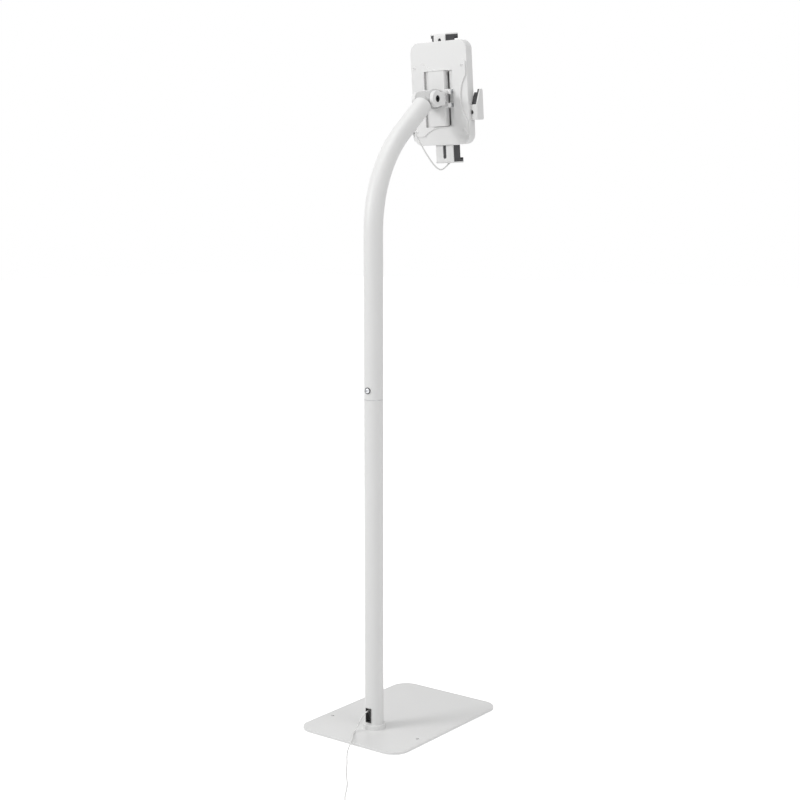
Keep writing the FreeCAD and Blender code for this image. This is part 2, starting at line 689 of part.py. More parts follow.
def hub_pieces():
    plate = slab(
        -HUB_PLATE_WIDTH / 2,
        HUB_PLATE_WIDTH / 2,
        -HUB_PLATE_HEIGHT / 2,
        HUB_PLATE_HEIGHT / 2,
        HUB_PLATE_CORNER,
        -HUB_BACK,
        -BAR_BACK,
    )
    plate = plate.cut(cylinder(PIN_RADIUS + PIN_FIT, V(0, 0, 0), V(0, HUB_BACK + 1, 0)))
    notch_radius = arc_radius(HUB_NOTCH_HALF_CHORD, HUB_NOTCH_DEPTH)
    for side in (-1, 1):
        x = side * (HUB_PLATE_WIDTH / 2 - HUB_NOTCH_DEPTH + notch_radius)
        plate = plate.cut(cylinder(notch_radius, V(x, BAR_BACK - 1, 0), V(x, HUB_BACK + 1, 0)))
    screws = []
    spacers = []
    length = HUB_BACK + FRAME_DEPTH + FRAME_THICKNESS
    for x, z in corners(HUB_SCREW_ACROSS, HUB_SCREW_UP):
        seat = V(x, HUB_BACK, z)
        screws.append(
            dome_screw(
                HUB_SCREW_RADIUS, length, HUB_SCREW_HEAD_RADIUS, HUB_SCREW_HEAD_HEIGHT, seat, V(0, -1, 0)
            )
        )
        hole = HUB_SCREW_RADIUS + SLIP_FIT
        plate = plate.cut(cylinder(hole, V(x, BAR_BACK, z), seat))
        spacers.append(tube(SPACER_RADIUS, hole, V(x, -FRAME_DEPTH, z), V(x, BAR_BACK, z)))
    export("hub_plate", plate, holder=True)
    export("hub_screws", *screws, holder=True)
    export("hub_spacers", *spacers, holder=True)


def bar_piece():
    half = BAR_WIDTH / 2
    end = WINDOW_HEIGHT / 2 - BAR_END_GAP
    bar = box(-half, half, -FRAME_DEPTH, BAR_BACK, -end, end)
    sides = [edge for edge in bar.Edges if abs(edge.CenterOfMass.y - BAR_BACK) < 1e-4]
    bar = bar.makeFillet(1.0, sides)
    hollow = box(
        BAR_WALL - half, half - BAR_WALL, -FRAME_DEPTH, BAR_BACK - BAR_WALL, BAR_WALL - end, end - BAR_WALL
    )
    bar = bar.cut(hollow)
    bar = bar.cut(cylinder(PIN_RADIUS + PIN_FIT, V(0, 0, 0), V(0, BAR_BACK, 0)))
    export("centre_bar", bar, holder=True)


def arc_cut(centre_x, centre_z, radius):
    return cylinder(radius, V(centre_x, -1, centre_z), V(centre_x, BACK_PLATE_THICKNESS + 1, centre_z))


def back_screw_places():
    across = BACK_PLATE_WIDTH - 2 * BACK_SCREW_INSET_X
    up = BACK_PLATE_HEIGHT - 2 * BACK_SCREW_INSET_Z
    return corners(across, up)


def back_plate_pieces():
    half_x = BACK_PLATE_WIDTH / 2
    half_z = BACK_PLATE_HEIGHT / 2
    plate = slab(-half_x, half_x, -half_z, half_z, BACK_PLATE_CORNER, -BACK_PLATE_THICKNESS, 0)
    end_radius = arc_radius(END_ARC_HALF_CHORD, END_ARC_DEPTH)
    side_radius = arc_radius(SIDE_ARC_HALF_CHORD, SIDE_ARC_DEPTH)
    for side in (-1, 1):
        plate = plate.cut(arc_cut(0, side * (half_z + end_radius - END_ARC_DEPTH), end_radius))
        plate = plate.cut(arc_cut(side * (half_x + side_radius - SIDE_ARC_DEPTH), 0, side_radius))
    window = slab(
        -WINDOW_WIDTH / 2,
        WINDOW_WIDTH / 2,
        -WINDOW_HEIGHT / 2,
        WINDOW_HEIGHT / 2,
        1.5,
        -BACK_PLATE_THICKNESS - 1,
        1,
    )
    plate = plate.cut(window)
    screws = []
    for x, z in back_screw_places():
        seat = V(x, BACK_PLATE_THICKNESS, z)
        screw = dome_screw(
            BACK_SCREW_RADIUS,
            BACK_PLATE_THICKNESS + FRAME_DEPTH + FRAME_THICKNESS,
            BACK_SCREW_HEAD_RADIUS,
            BACK_SCREW_HEAD_HEIGHT,
            seat,
            V(0, -1, 0),
        )
        plate = plate.cut(cylinder(BACK_SCREW_RADIUS + SLIP_FIT, V(x, 0, z), seat))
        screws.append(screw)
    export("back_plate", plate, holder=True)
    export("back_plate_screws", *screws, holder=True)


class Clamp:
    """One clamp, drawn as if it were the top one, then turned to its own side.

    arm and jaw give where the arm and the jaw start and end along the jaw.
    """

    def __init__(self, name, turn, edge, shell_edge, arm, jaw, lock):
        self.name = name
        self.turn = turn
        self.edge = edge
        self.shell_edge = shell_edge
        self.arm_low, self.arm_high = arm
        self.jaw_low, self.jaw_high = jaw
        self.lock = lock
        self.middle = (self.arm_low + self.arm_high) / 2
        self.outside = edge + LINER_THICKNESS + ARM_SHEET
        self.slot_start = lock - TRAVEL_OUT

    def placed(self, shape):
        shape = shape.copy()
        turned = FreeCAD.Placement(V(0, 0, 0), FreeCAD.Rotation(V(0, 1, 0), self.turn))
        shape.Placement = turned.multiply(shape.Placement)
        return shape

    def plan(self, low, high, back, front, wide_low, wide_high, flank, z0, z1):
        """A plate seen from above: narrow at its back, wide from the flank to its front."""
        outline = [
            V(low, -back, z0),
            V(high, -back, z0),
            V(wide_high, -flank, z0),
            V(wide_high, -front, z0),
            V(wide_low, -front, z0),
            V(wide_low, -flank, z0),
        ]
        points = [p for p, q in zip(outline, outline[1:] + outline[:1]) if (p - q).Length > 1e-6]
        face = Part.Face(Part.makePolygon(points + points[:1]))
        return face.extrude(V(0, 0, z1 - z0))

    def jaw_plan(self, back, front, z0, z1):
        """The jaw's outline, which widens from the arm to the jaw's own width."""
        flank = FLANK_DEPTH + back - ARM_DEPTH
        return self.plan(
            self.arm_low, self.arm_high, back, front, self.jaw_low, self.jaw_high, flank, z0, z1
        )

    def arm(self):
        inner = self.slot_start - ARM_SLOT_WIDTH / 2 - ARM_TAIL
        strip = box(self.arm_low, self.arm_high, -BLOCK_DEPTH, -ARM_DEPTH, inner, self.outside)
        wall = self.jaw_plan(ARM_DEPTH, JAW_DEPTH, self.outside - ARM_SHEET, self.outside)
        lip_start = self.edge - LIP_REACH
        lip = box(self.jaw_low, self.jaw_high, -JAW_DEPTH, -LIP_BACK, lip_start, self.outside)
        arm = self.round_bend(strip.multiFuse([wall, lip]).removeSplitter())
        return self.with_slot(self.round_front(arm))

    def round_bend(self, arm):
        """The outside of the bend between the arm and the jaw's wall is cut round."""
        low = self.jaw_low - 1
        high = self.jaw_high + 1
        centre = V(low, -ARM_DEPTH - ARM_BEND_RADIUS, self.outside - ARM_BEND_RADIUS)
        corner = box(low, high, centre.y, 1 - ARM_DEPTH, centre.z, self.outside + 1)
        return arm.cut(corner.cut(cylinder(ARM_BEND_RADIUS, centre, V(high, centre.y, centre.z))))

    def round_front(self, piece):
        """The jaw's front corners are cut round."""
        radius = JAW_CORNER_RADIUS
        z0 = self.edge - LIP_REACH - 1
        z1 = self.outside + 1
        for x, side in ((self.jaw_low, 1), (self.jaw_high, -1)):
            centre = V(x + side * radius, radius - JAW_DEPTH, z0)
            corner = box(min(x, centre.x), max(x, centre.x), -JAW_DEPTH, centre.y, z0, z1)
            piece = piece.cut(corner.cut(cylinder(radius, centre, V(centre.x, centre.y, z1))))
        return piece

    def with_slot(self, arm):
        half = ARM_SLOT_WIDTH / 2
        x = self.middle
        end = self.outside - ARM_SLOT_TO_END - half
        slot = box(x - half, x + half, -BLOCK_DEPTH - 1, 1 - ARM_DEPTH, self.slot_start, end)
        ends = [
            cylinder(half, V(x, -BLOCK_DEPTH - 1, z), V(x, 1 - ARM_DEPTH, z)) for z in (self.slot_start, end)
        ]
        return arm.cut(slot.multiFuse(ends))

    def liner(self):
        """The black lining: a block on the arm, a floor across the jaw and the face of the lip."""
        share = (PAD_FACE - BLOCK_DEPTH) / (FLANK_DEPTH - ARM_DEPTH)
        low = self.arm_low + BLOCK_INSET
        high = self.arm_high - BLOCK_INSET
        wide_low = self.arm_low + (self.jaw_low - self.arm_low) * share + BLOCK_INSET
        wide_high = self.arm_high + (self.jaw_high - self.arm_high) * share - BLOCK_INSET
        outer = self.edge + LINER_THICKNESS
        start = self.shell_edge + BLOCK_GAP
        block = self.plan(low, high, BLOCK_DEPTH, PAD_FACE, wide_low, wide_high, PAD_FACE, start, outer)
        floor = self.jaw_plan(BLOCK_DEPTH, LIP_BACK, self.edge, outer)
        lip = box(self.jaw_low, self.jaw_high, -LIP_BACK, -LIP_INNER, self.edge - LIP_REACH, outer)
        return self.round_front(block.multiFuse([floor, lip]).removeSplitter())

    def mouth(self):
        return box(
            self.arm_low - MOUTH_GAP,
            self.arm_high + MOUTH_GAP,
            -BLOCK_DEPTH - MOUTH_GAP,
            MOUTH_GAP - ARM_DEPTH,
            self.shell_edge - SHELL_WALL - FRAME_INSET,
            self.shell_edge + 1,
        )

    def guide(self):
        """The bed that the arm slides on, with a rail on each side."""
        low = self.arm_low - RAIL_GAP
        high = self.arm_high + RAIL_GAP
        inner = self.slot_start - ARM_SLOT_WIDTH / 2
        outer = self.shell_edge - SHELL_WALL - FRAME_INSET
        back = FRAME_DEPTH + FRAME_THICKNESS
        bed = box(low - RAIL_WIDTH, high + RAIL_WIDTH, -BLOCK_DEPTH, -back, inner, outer)
        return bed.cut(box(low, high, -BLOCK_DEPTH, -BED_DEPTH, inner, outer))

    def lock_seat(self):
        return V(self.middle, -BLOCK_DEPTH - LOCK_WASHER_THICKNESS, self.lock)

    def lock_washer(self):
        seat = self.lock_seat()
        return tube(LOCK_WASHER_RADIUS, LOCK_SCREW_RADIUS + SLIP_FIT, seat, V(seat.x, -BLOCK_DEPTH, seat.z))

    def lock_screw(self):
        length = BLOCK_DEPTH + LOCK_WASHER_THICKNESS - FRAME_DEPTH
        return dome_screw(
            LOCK_SCREW_RADIUS, length, LOCK_HEAD_RADIUS, LOCK_HEAD_HEIGHT, self.lock_seat(), V(0, 1, 0)
        )

    def lock_hole(self):
        x = self.middle
        return cylinder(LOCK_SCREW_RADIUS, V(x, -SHELL_DEPTH, self.lock), V(x, 0, self.lock))


def make_clamps():
    end_edge = TABLET_HEIGHT / 2
    side_edge = TABLET_WIDTH / 2
    side = SHELL_WIDTH / 2
    top = (-TOP_ARM_WIDTH / 2, TOP_ARM_WIDTH / 2)
    bottom = (-BOTTOM_ARM_WIDTH / 2, BOTTOM_ARM_WIDTH / 2)
    end_jaw = (-END_JAW_WIDTH / 2, END_JAW_WIDTH / 2)
    right = (RIGHT_JAW_LOW, RIGHT_JAW_LOW + SIDE_ARM_WIDTH)
    right_jaw = (RIGHT_JAW_LOW, RIGHT_JAW_LOW + SIDE_JAW_WIDTH)
    left = (-LEFT_JAW_HIGH, SIDE_ARM_WIDTH - LEFT_JAW_HIGH)
    left_jaw = (-LEFT_JAW_HIGH, SIDE_JAW_WIDTH - LEFT_JAW_HIGH)
    return [
        Clamp("top", 0, end_edge, SHELL_ABOVE, top, end_jaw, TOP_LOCK_DISTANCE),
        Clamp("bottom", 180, end_edge, SHELL_BELOW, bottom, end_jaw, BOTTOM_LOCK_DISTANCE),
        Clamp("left", 90, side_edge, side, left, left_jaw, SIDE_LOCK_DISTANCE),
        Clamp("right", -90, side_edge, side, right, right_jaw, SIDE_LOCK_DISTANCE),
    ]


def connector_front():
    return JAW_DEPTH - CONNECTOR_FRONT_GAP


def connector_pieces():
    """A low right-angle connector that waits in the bottom jaw's notch."""
    front = connector_front()
    back = front - CONNECTOR_LENGTH
    middle = PAD_FACE + TABLET_THICKNESS / 2
    edge = -TABLET_HEIGHT / 2
    half = CONNECTOR_WIDTH / 2
    body = box(-half, half, -front, -back, edge - CONNECTOR_THICKNESS, edge)
    upright = [e for e in body.Edges if e.BoundBox.ZLength > 1]
    body = body.makeFillet(1.8, upright)
    slope = math.radians(RELIEF_SLOPE)
    away = V(0, math.cos(slope), -math.sin(slope))
    start = V(0, RELIEF_FROM_FRONT - front, edge - CONNECTOR_THICKNESS + RELIEF_SINK)
    relief = Part.makeCone(RELIEF_RADIUS, LEAD_RADIUS + 0.4, RELIEF_LENGTH, start, away)
    thickness = TIP_THICKNESS / 2
    tip = box(-TIP_WIDTH / 2, TIP_WIDTH / 2, -middle - thickness, thickness - middle, edge, edge + TIP_HEIGHT)
    rims = [e for e in tip.Edges if e.BoundBox.ZLength > 1]
    tip = tip.makeFillet(thickness - 0.05, rims)
    export("lead_connector", body.fuse(relief).removeSplitter(), holder=True)
    export("connector_tip", tip, holder=True)
    return HOLDER.multVec(start + away * RELIEF_LENGTH), HOLDER.Rotation.multVec(away)


def connector_notch():
    half = CONNECTOR_WIDTH / 2 + CONNECTOR_FIT
    edge = -TABLET_HEIGHT / 2
    back = connector_front() - CONNECTOR_LENGTH - CONNECTOR_FIT
    low = edge - LINER_THICKNESS - ARM_SHEET - 1
    return box(-half, half, -JAW_DEPTH - 1, -back, low, edge + LIP_REACH + 1)


def clamp_pieces(clamps):
    screws = []
    washers = []
    for clamp in clamps:
        arm = clamp.placed(clamp.arm())
        liner = clamp.placed(clamp.liner())
        if clamp.name == "bottom":
            arm = arm.cut(connector_notch())
            liner = liner.cut(connector_notch())
        export(f"{clamp.name}_clamp_arm", arm, holder=True)
        export(f"{clamp.name}_clamp_liner", liner, holder=True)
        screws.append(clamp.placed(clamp.lock_screw()))
        washers.append(clamp.placed(clamp.lock_washer()))
    export("lock_screws", *screws, holder=True)
    export("lock_washers", *washers, holder=True)


def front_screw_places():
    across = SHELL_WIDTH - 2 * FRONT_SCREW_INSET
    low = FRONT_SCREW_INSET - SHELL_BELOW
    high = SHELL_ABOVE - FRONT_SCREW_INSET
    return [(x * across / 2, z) for x in (-1, 1) for z in (low, high)]


def shell_pieces(clamps):
    half = SHELL_WIDTH / 2
    radius = SHELL_CORNER_RADIUS
    shell = slab(-half, half, -SHELL_BELOW, SHELL_ABOVE, radius, 0, SHELL_DEPTH)
    shell = shell.makeFillet(SHELL_EDGE_ROUND, outer_edges(shell, "Y", 0, 5))
    inner = half - SHELL_WALL
    inner_low = SHELL_WALL - SHELL_BELOW
    inner_high = SHELL_ABOVE - SHELL_WALL
    pocket = slab(-inner, inner, inner_low, inner_high, radius - SHELL_WALL, SHELL_WALL, SHELL_DEPTH + 1)
    shell = shell.cut(pocket)
    window_x = WINDOW_WIDTH / 2 + WINDOW_MARGIN
    window_z = WINDOW_HEIGHT / 2 + WINDOW_MARGIN
    shell = shell.cut(box(-window_x, window_x, -SHELL_WALL - 1, 1, -window_z, window_z))

    margin = SHELL_WALL + FRAME_INSET
    back = FRAME_DEPTH + FRAME_THICKNESS
    frame = slab(
        -half + margin,
        half - margin,
        margin - SHELL_BELOW,
        SHELL_ABOVE - margin,
        radius - margin,
        FRAME_DEPTH,
        back,
    )
    slot_inner = BAR_WIDTH / 2 + FRAME_SLOT_GAP
    slot_outer = slot_inner + FRAME_SLOT_WIDTH
    slot_end = WINDOW_HEIGHT / 2 - FRAME_SLOT_TO_WINDOW
    for side in (-1, 1):
        x0, x1 = sorted((side * slot_inner, side * slot_outer))
        frame = frame.cut(box(x0, x1, -back - 1, 1 - FRAME_DEPTH, -slot_end, slot_end))
    guides = [clamp.placed(clamp.guide()) for clamp in clamps]
    frame = frame.multiFuse(guides).removeSplitter()

    gap = SHELL_WALL + FRONT_PLATE_GAP
    front = slab(
        -half + gap,
        half - gap,
        gap - SHELL_BELOW,
        SHELL_ABOVE - gap,
        radius - gap,
        SHELL_DEPTH - SHELL_WALL,
        SHELL_DEPTH,
    )
    posts = []
    front_screws = []
    for x, z in front_screw_places():
        post = cylinder(POST_RADIUS, V(x, -back, z), V(x, SHELL_WALL - SHELL_DEPTH, z))
        seat = V(x, -SHELL_DEPTH, z)
        screw = countersunk_screw(FRONT_SCREW_RADIUS, 12.0, seat, V(0, 1, 0))
        front = front.cut(screw)
        posts.append(post.cut(screw))
        front_screws.append(screw)

    for clamp in clamps:
        shell = shell.cut(clamp.placed(clamp.mouth()))
        frame = frame.cut(clamp.placed(clamp.lock_hole()))
    for x, z in back_screw_places():
        hole = cylinder(BACK_SCREW_RADIUS, V(x, -back, z), V(x, 0, z))
        shell = shell.cut(hole)
        frame = frame.cut(hole)
    for x, z in corners(HUB_SCREW_ACROSS, HUB_SCREW_UP):
        frame = frame.cut(cylinder(HUB_SCREW_RADIUS, V(x, -back, z), V(x, 0, z)))
    export("holder_shell", shell, holder=True)
    export("slide_frame", frame, holder=True)
    export("frame_posts", *posts, holder=True)
    export("front_plate", front, holder=True)
    export("front_screws", *front_screws, holder=True)


def tablet_pads():
    pads = []
    for x, z in corners(SHELL_WIDTH - 2 * PAD_WIDTH, BACK_PLATE_HEIGHT - 2 * PAD_HEIGHT):
        pads.append(
            slab(
                x - PAD_WIDTH / 2,
                x + PAD_WIDTH / 2,
                z - PAD_HEIGHT / 2,
                z + PAD_HEIGHT / 2,
                3.0,
                SHELL_DEPTH,
                PAD_FACE,
            )
        )
    export("tablet_pads", *pads, holder=True)


def lead_in_pole(start, end):
    """The lead's hidden run, from the slot up the pole and along the bend to the arm's hole."""
    offset = V(0, LEAD_OFFSET_IN_TUBE, 0)
    hole = arm_hole_centre()
    rise = start - (LOWER_ROUTE[1] - start).normalize() * 18
    bend_bottom = V(0, 0, BEND_START_HEIGHT) + offset
    radius = BEND_RADIUS + LEAD_OFFSET_IN_TUBE
    turn_point = bend_bottom + V(0, 0, radius * math.tan(BEND / 2))
    above = hole - ARM_UNDERSIDE * LEAD_OFFSET_IN_TUBE
    points = [start, rise, V(0, LEAD_OFFSET_IN_TUBE, start.z + 60), turn_point, above, end]
    wire = route_wire(points, [9.0, 60.0, radius, 12.0])
    export("lead_in_pole", cord_along(wire, "lead_in_pole"))
    return wire.Length


def coil_nodes():
    """Points and headings of the coil at every quarter turn: in on the floor layer, out above it."""
    quarters = 4 * COIL_TURNS_PER_LAYER
    low = TIE_THICKNESS + TIE_GAP + LEAD_RADIUS
    outer = COIL_INNER_RADIUS + COIL_PITCH * COIL_TURNS_PER_LAYER
    nodes = []
    for i in range(2 * quarters + 2):
        if i <= quarters:
            radius = outer - COIL_PITCH * i / 4
            z = low
            drift = -COIL_PITCH
        elif i < quarters + 2:
            radius = COIL_INNER_RADIUS
            z = low + COIL_PITCH / 2
            drift = 0
        else:
            radius = COIL_INNER_RADIUS + COIL_PITCH * (i - quarters - 2) / 4
            z = low + COIL_PITCH
            drift = COIL_PITCH
        nodes.append((math.radians(COIL_START_ANGLE + 90 * i), radius, z, drift))
    return nodes


def coil_point(angle, radius, z):
    return COIL_CENTRE + V(radius * math.cos(angle), radius * math.sin(angle), z)


def coil_heading(angle, radius, drift, climb):
    outward = V(math.cos(angle), math.sin(angle), 0)
    along = V(-math.sin(angle), math.cos(angle), 0)
    return (along * radius + outward * (drift / (2 * math.pi)) + V(0, 0, climb)).normalize()


def coil_wire():
    nodes = coil_nodes()
    points = []
    headings = []
    turn_quarter = 4 * COIL_TURNS_PER_LAYER + 1
    for i, (angle, radius, z, drift) in enumerate(nodes):
        climb = 0
        if i == turn_quarter:
            climb = COIL_PITCH / math.pi * 1.6
        points.append(coil_point(angle, radius, z))
        headings.append(coil_heading(angle, radius, drift, climb))
    fall = (points[-1].z - PLUG_BODY.z / 2) / (COIL_END_LENGTH + PLUG_RELIEF_LENGTH)
    headings[-1] = (headings[-1] - V(0, 0, fall)).normalize()
    edges = []
    lead_in = points[0] - headings[0] * 2 * LEAD_RADIUS
    edges.append(Part.LineSegment(lead_in, points[0]).toShape())
    for i in range(len(points) - 1):
        edges.extend(biarc(points[i], headings[i], points[i + 1], headings[i + 1]))
    lead_out = points[-1] + headings[-1] * COIL_END_LENGTH
    edges.append(Part.LineSegment(points[-1], lead_out).toShape())
    return Part.Wire(edges), lead_in, lead_out, headings[-1]


def least_gap(wire):
    """The least clear distance between turns, from points along the centreline."""
    step = 1.0
    count = int(wire.Length / step)
    points = wire.discretize(Number=count)
    apart = int(COIL_INNER_RADIUS * math.pi / step)
    least = 1e9
    for i, here in enumerate(points):
        for there in points[i + apart:]:
            least = min(least, (here - there).Length)
    return least - 2 * LEAD_RADIUS


def plug_pieces(start, heading):
    """The plug, the relief it grows from and its metal shell, lying where the coil ends."""
    turn = math.degrees(math.atan2(heading.y, heading.x)) - 90
    relief_end = start + heading * PLUG_RELIEF_LENGTH
    relief_end.z = PLUG_BODY.z / 2
    relief = Part.makeCone(LEAD_RADIUS + 0.6, LEAD_RADIUS + 1.6, PLUG_RELIEF_LENGTH + 0.5, start, heading)
    body = Part.makeBox(PLUG_BODY.x, PLUG_BODY.y, PLUG_BODY.z, V(-PLUG_BODY.x / 2, 0, -PLUG_BODY.z / 2))
    body = body.makeFillet(1.5, body.Edges)
    placed = FreeCAD.Placement(relief_end, FreeCAD.Rotation(V(0, 0, 1), turn))
    body.Placement = placed
    shell = Part.makeBox(
        PLUG_SHELL.x, PLUG_SHELL.y, PLUG_SHELL.z, V(-PLUG_SHELL.x / 2, PLUG_BODY.y, -PLUG_SHELL.z / 2)
    )
    hollow = Part.makeBox(
        PLUG_SHELL.x - 2 * PLUG_SHELL_WALL,
        PLUG_SHELL.y,
        PLUG_SHELL.z - 2 * PLUG_SHELL_WALL,
        V(PLUG_SHELL_WALL - PLUG_SHELL.x / 2, PLUG_BODY.y + PLUG_SHELL_WALL, PLUG_SHELL_WALL - PLUG_SHELL.z / 2),
    )
    shell = shell.cut(hollow)
    shell.Placement = placed
    export("lead_plug", body.fuse(relief).removeSplitter())
    export("plug_shell", shell)


def tie_piece():
    """A closed band round all the turns at one side of the coil."""
    inner = COIL_INNER_RADIUS - LEAD_RADIUS - 0.6
    outer = COIL_INNER_RADIUS + COIL_PITCH * COIL_TURNS_PER_LAYER + LEAD_RADIUS + 0.6
    height = 2 * LEAD_RADIUS + COIL_PITCH + 2 * TIE_GAP
    half = TIE_WIDTH / 2
    wall = TIE_THICKNESS
    solid = slab(inner - wall, outer + wall, 0, height + 2 * wall, 2.0, -half, half)
    hollow = slab(inner, outer, wall, wall + height, 2.0 - wall, -half - 1, half + 1)
    band = solid.cut(hollow)
    band.rotate(V(0, 0, 0), V(0, 0, 1), -90)
    band.translate(COIL_CENTRE)
    export("lead_tie", band)


def lead_pieces(connector_exit, connector_heading):
    hole = arm_hole_centre()
    upper_start = hole + ARM_UNDERSIDE * (TUBE_RADIUS + ARM_GROMMET_THICKNESS)
    in_pole = lead_in_pole(LOWER_ROUTE[0], upper_start)
    near_start = upper_start + ARM_UNDERSIDE * UPPER_FIRST_RUN
    near_end = connector_exit + connector_heading * UPPER_LAST_RUN
    upper = [upper_start, near_start] + UPPER_ROUTE + [near_end, connector_exit]
    upper_radii = cord_radii(upper)
    upper_wire = route_wire(upper, upper_radii)
    export("lead_upper", cord_along(upper_wire, "lead_upper"))
    coil, coil_in, coil_out, heading = coil_wire()
    lower = LOWER_ROUTE + [coil_in - (coil.OrderedVertexes[1].Point - coil_in) * 3.5, coil_in]
    lower_radii = cord_radii(lower)
    lower_wire = route_wire(lower, lower_radii)
    export("lead_lower", cord_along(lower_wire, "lead_lower"))
    export("lead_coil", cord_along(coil, "lead_coil"))
    plug_pieces(coil_out, heading)
    tie_piece()
    print("upper lead radii", [round(r, 1) for r in upper_radii])
    print("lower lead radii", [round(r, 1) for r in lower_radii])
    print(f"least gap of the coil {least_gap(coil):.2f} mm")
    whole = in_pole + upper_wire.Length + lower_wire.Length + coil.Length
    print(f"whole lead {whole:.0f} mm")
    print("lower route end", coil_in, "coil out", coil_out, heading, "upper route", near_end, connector_exit)


def main():
    os.makedirs("parts", exist_ok=True)
    base_pieces()
    collar_piece()
    lower_pole_pieces()
    joint_pieces()
    upper_pole_pieces()
    knuckle_pieces()
    head_seat = yoke_pieces()
    rotation_pieces(head_seat)
    hub_pieces()
    bar_piece()
    back_plate_pieces()
    clamps = make_clamps()
    clamp_pieces(clamps)
    shell_pieces(clamps)
    tablet_pads()
    lead_pieces(*connector_pieces())
    print("pivot", PIVOT, "hub", HUB)


main()
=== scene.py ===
"""Looks of the tablet floor stand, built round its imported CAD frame.

Everything is in metres in the frame's own coordinates: +Z is up, the floor is z = 0,
the pole's axis is x = y = 0 and the holder faces -Y.
"""

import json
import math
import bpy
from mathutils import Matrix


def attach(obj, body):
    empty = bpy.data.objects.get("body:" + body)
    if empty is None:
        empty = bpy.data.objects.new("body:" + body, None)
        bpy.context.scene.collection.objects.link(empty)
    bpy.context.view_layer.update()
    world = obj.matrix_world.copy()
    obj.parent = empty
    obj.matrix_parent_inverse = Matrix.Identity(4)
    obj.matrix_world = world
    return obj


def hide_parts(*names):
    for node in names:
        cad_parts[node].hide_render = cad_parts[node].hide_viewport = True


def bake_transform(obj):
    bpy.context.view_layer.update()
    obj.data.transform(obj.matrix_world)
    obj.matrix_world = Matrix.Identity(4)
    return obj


bl_info = {
    "name": "Tablet Floor Stand",
    "version": (1, 0, 0),
    "blender": (4, 5, 0),
    "location": "View3D > Sidebar > Tablet Stand",
    "description": "Leads, finishes, camera and studio of a tablet floor stand",
    "category": "Object",
}

import bmesh
import bpy
from mathutils import Matrix, Vector

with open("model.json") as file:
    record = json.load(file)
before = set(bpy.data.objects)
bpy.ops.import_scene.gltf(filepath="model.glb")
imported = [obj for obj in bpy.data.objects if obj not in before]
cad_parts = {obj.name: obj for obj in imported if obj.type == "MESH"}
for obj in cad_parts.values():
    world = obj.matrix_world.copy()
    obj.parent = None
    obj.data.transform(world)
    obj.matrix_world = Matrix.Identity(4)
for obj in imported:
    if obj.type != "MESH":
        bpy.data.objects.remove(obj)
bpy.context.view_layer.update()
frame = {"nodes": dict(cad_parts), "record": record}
SLOT_OF_NODE = {part["node"]: part["material_slot"] for part in frame["record"]["subparts"]}

# Where the holder's own axes lie: x across, -y towards the user, z up the holder
HOLDER_LEAN = math.radians(5.0)
HUB = Vector((0.0, -0.22059164, 1.26724672))
HOLDER = Matrix.Translation(HUB) @ Matrix.Rotation(-HOLDER_LEAN, 4, "X")

# The lead's route through the pole
ROUTE_IN_POLE = [
    (0.0027, 0.0150, 0.0432),
    (0.0012, -0.0028, 0.0451),
    (0.0000, 0.0050, 0.1032),
    (0.0000, 0.0050, 0.9400),
    (0.0000, 0.0050, 1.0548),
    (0.0000, -0.0435, 1.1589),
    (0.0000, -0.1151, 1.2190),
    (0.0000, -0.1312939, 1.1996416),
]

# From the arm's grommet to the connector
ROUTE_UPPER = [
    (0.0, -0.1312939, 1.1996416),
    (0.0, -0.1467208, 1.1812565),
    (0.0, -0.1660, 1.1613),
    (0.0, -0.1840, 1.1450),
    (0.0, -0.2005, 1.1322),
    (0.0, -0.2145, 1.1250),
    (0.0, -0.2265, 1.1232),
    (0.0, -0.2365, 1.1270),
    (0.0, -0.2438615, 1.1310566),
    (0.0, -0.2512339, 1.1362188),
]
UPPER_AT_TILT_HEAD = 0.36
UPPER_AT_HOLDER = 0.74
UPPER_LEAD_PIECES = ["charging_lead_at_arm", "charging_lead_at_joint", "charging_lead_at_connector"]

# From the pole's slot over the base and along the floor to the coil
ROUTE_LOWER = [
    (0.0027, 0.0150, 0.0432),
    (0.0035, 0.0245, 0.0422),
    (0.0055, 0.0305, 0.0360),
    (0.0090, 0.0340, 0.0260),
    (0.0130, 0.0375, 0.0145),
    (0.0125, 0.0470, 0.0082),
    (0.0050, 0.0620, 0.0079),
    (-0.0060, 0.0760, 0.0096),
    (-0.0150, 0.0880, 0.0116),
    (-0.0210, 0.0985, 0.0110),
    (-0.0250, 0.1095, 0.0056),
    (-0.0310, 0.1220, 0.0018),
    (-0.0460, 0.1430, 0.00165),
    (-0.0700, 0.1710, 0.0016),
    (-0.1010, 0.2120, 0.0016),
    (-0.1380, 0.2520, 0.0016),
    (-0.1680, 0.2980, 0.0017),
    (-0.1938, 0.3249, 0.0022),
]

# The coil of the put-away length: three turns in on the floor, nearly three out above them
COIL_CENTRE = Vector((-0.222, 0.322, 0.0))
COIL_INNER_RADIUS = 0.011
COIL_PITCH = 0.004
COIL_TURNS = 3
COIL_TURNS_OUT = 2.75
COIL_POINTS_PER_TURN = 16
COIL_START = math.radians(41.0)
COIL_FLOOR_LEVEL = 0.00245
COIL_OUT = Vector((-0.24642534, 0.33041284, 0.00501117))
COIL_HEADING = Vector((-0.76861894, -0.63005951, -0.11067944))
COIL_END_LENGTH = 0.013

# The pads on the front plate: across, towards the user and up the holder
PAD_SIZE = Vector((0.026, 0.0015, 0.014))
PAD_PLACE = Vector((0.044, 0.061))
PAD_BACK = 0.020
PAD_CORNER_RADIUS = 0.003
PAD_RIBS = 5
PAD_RIB_PITCH = 0.0024
PAD_RIB_WIDTH = 0.0012
PAD_RIB_HEIGHT = 0.0004

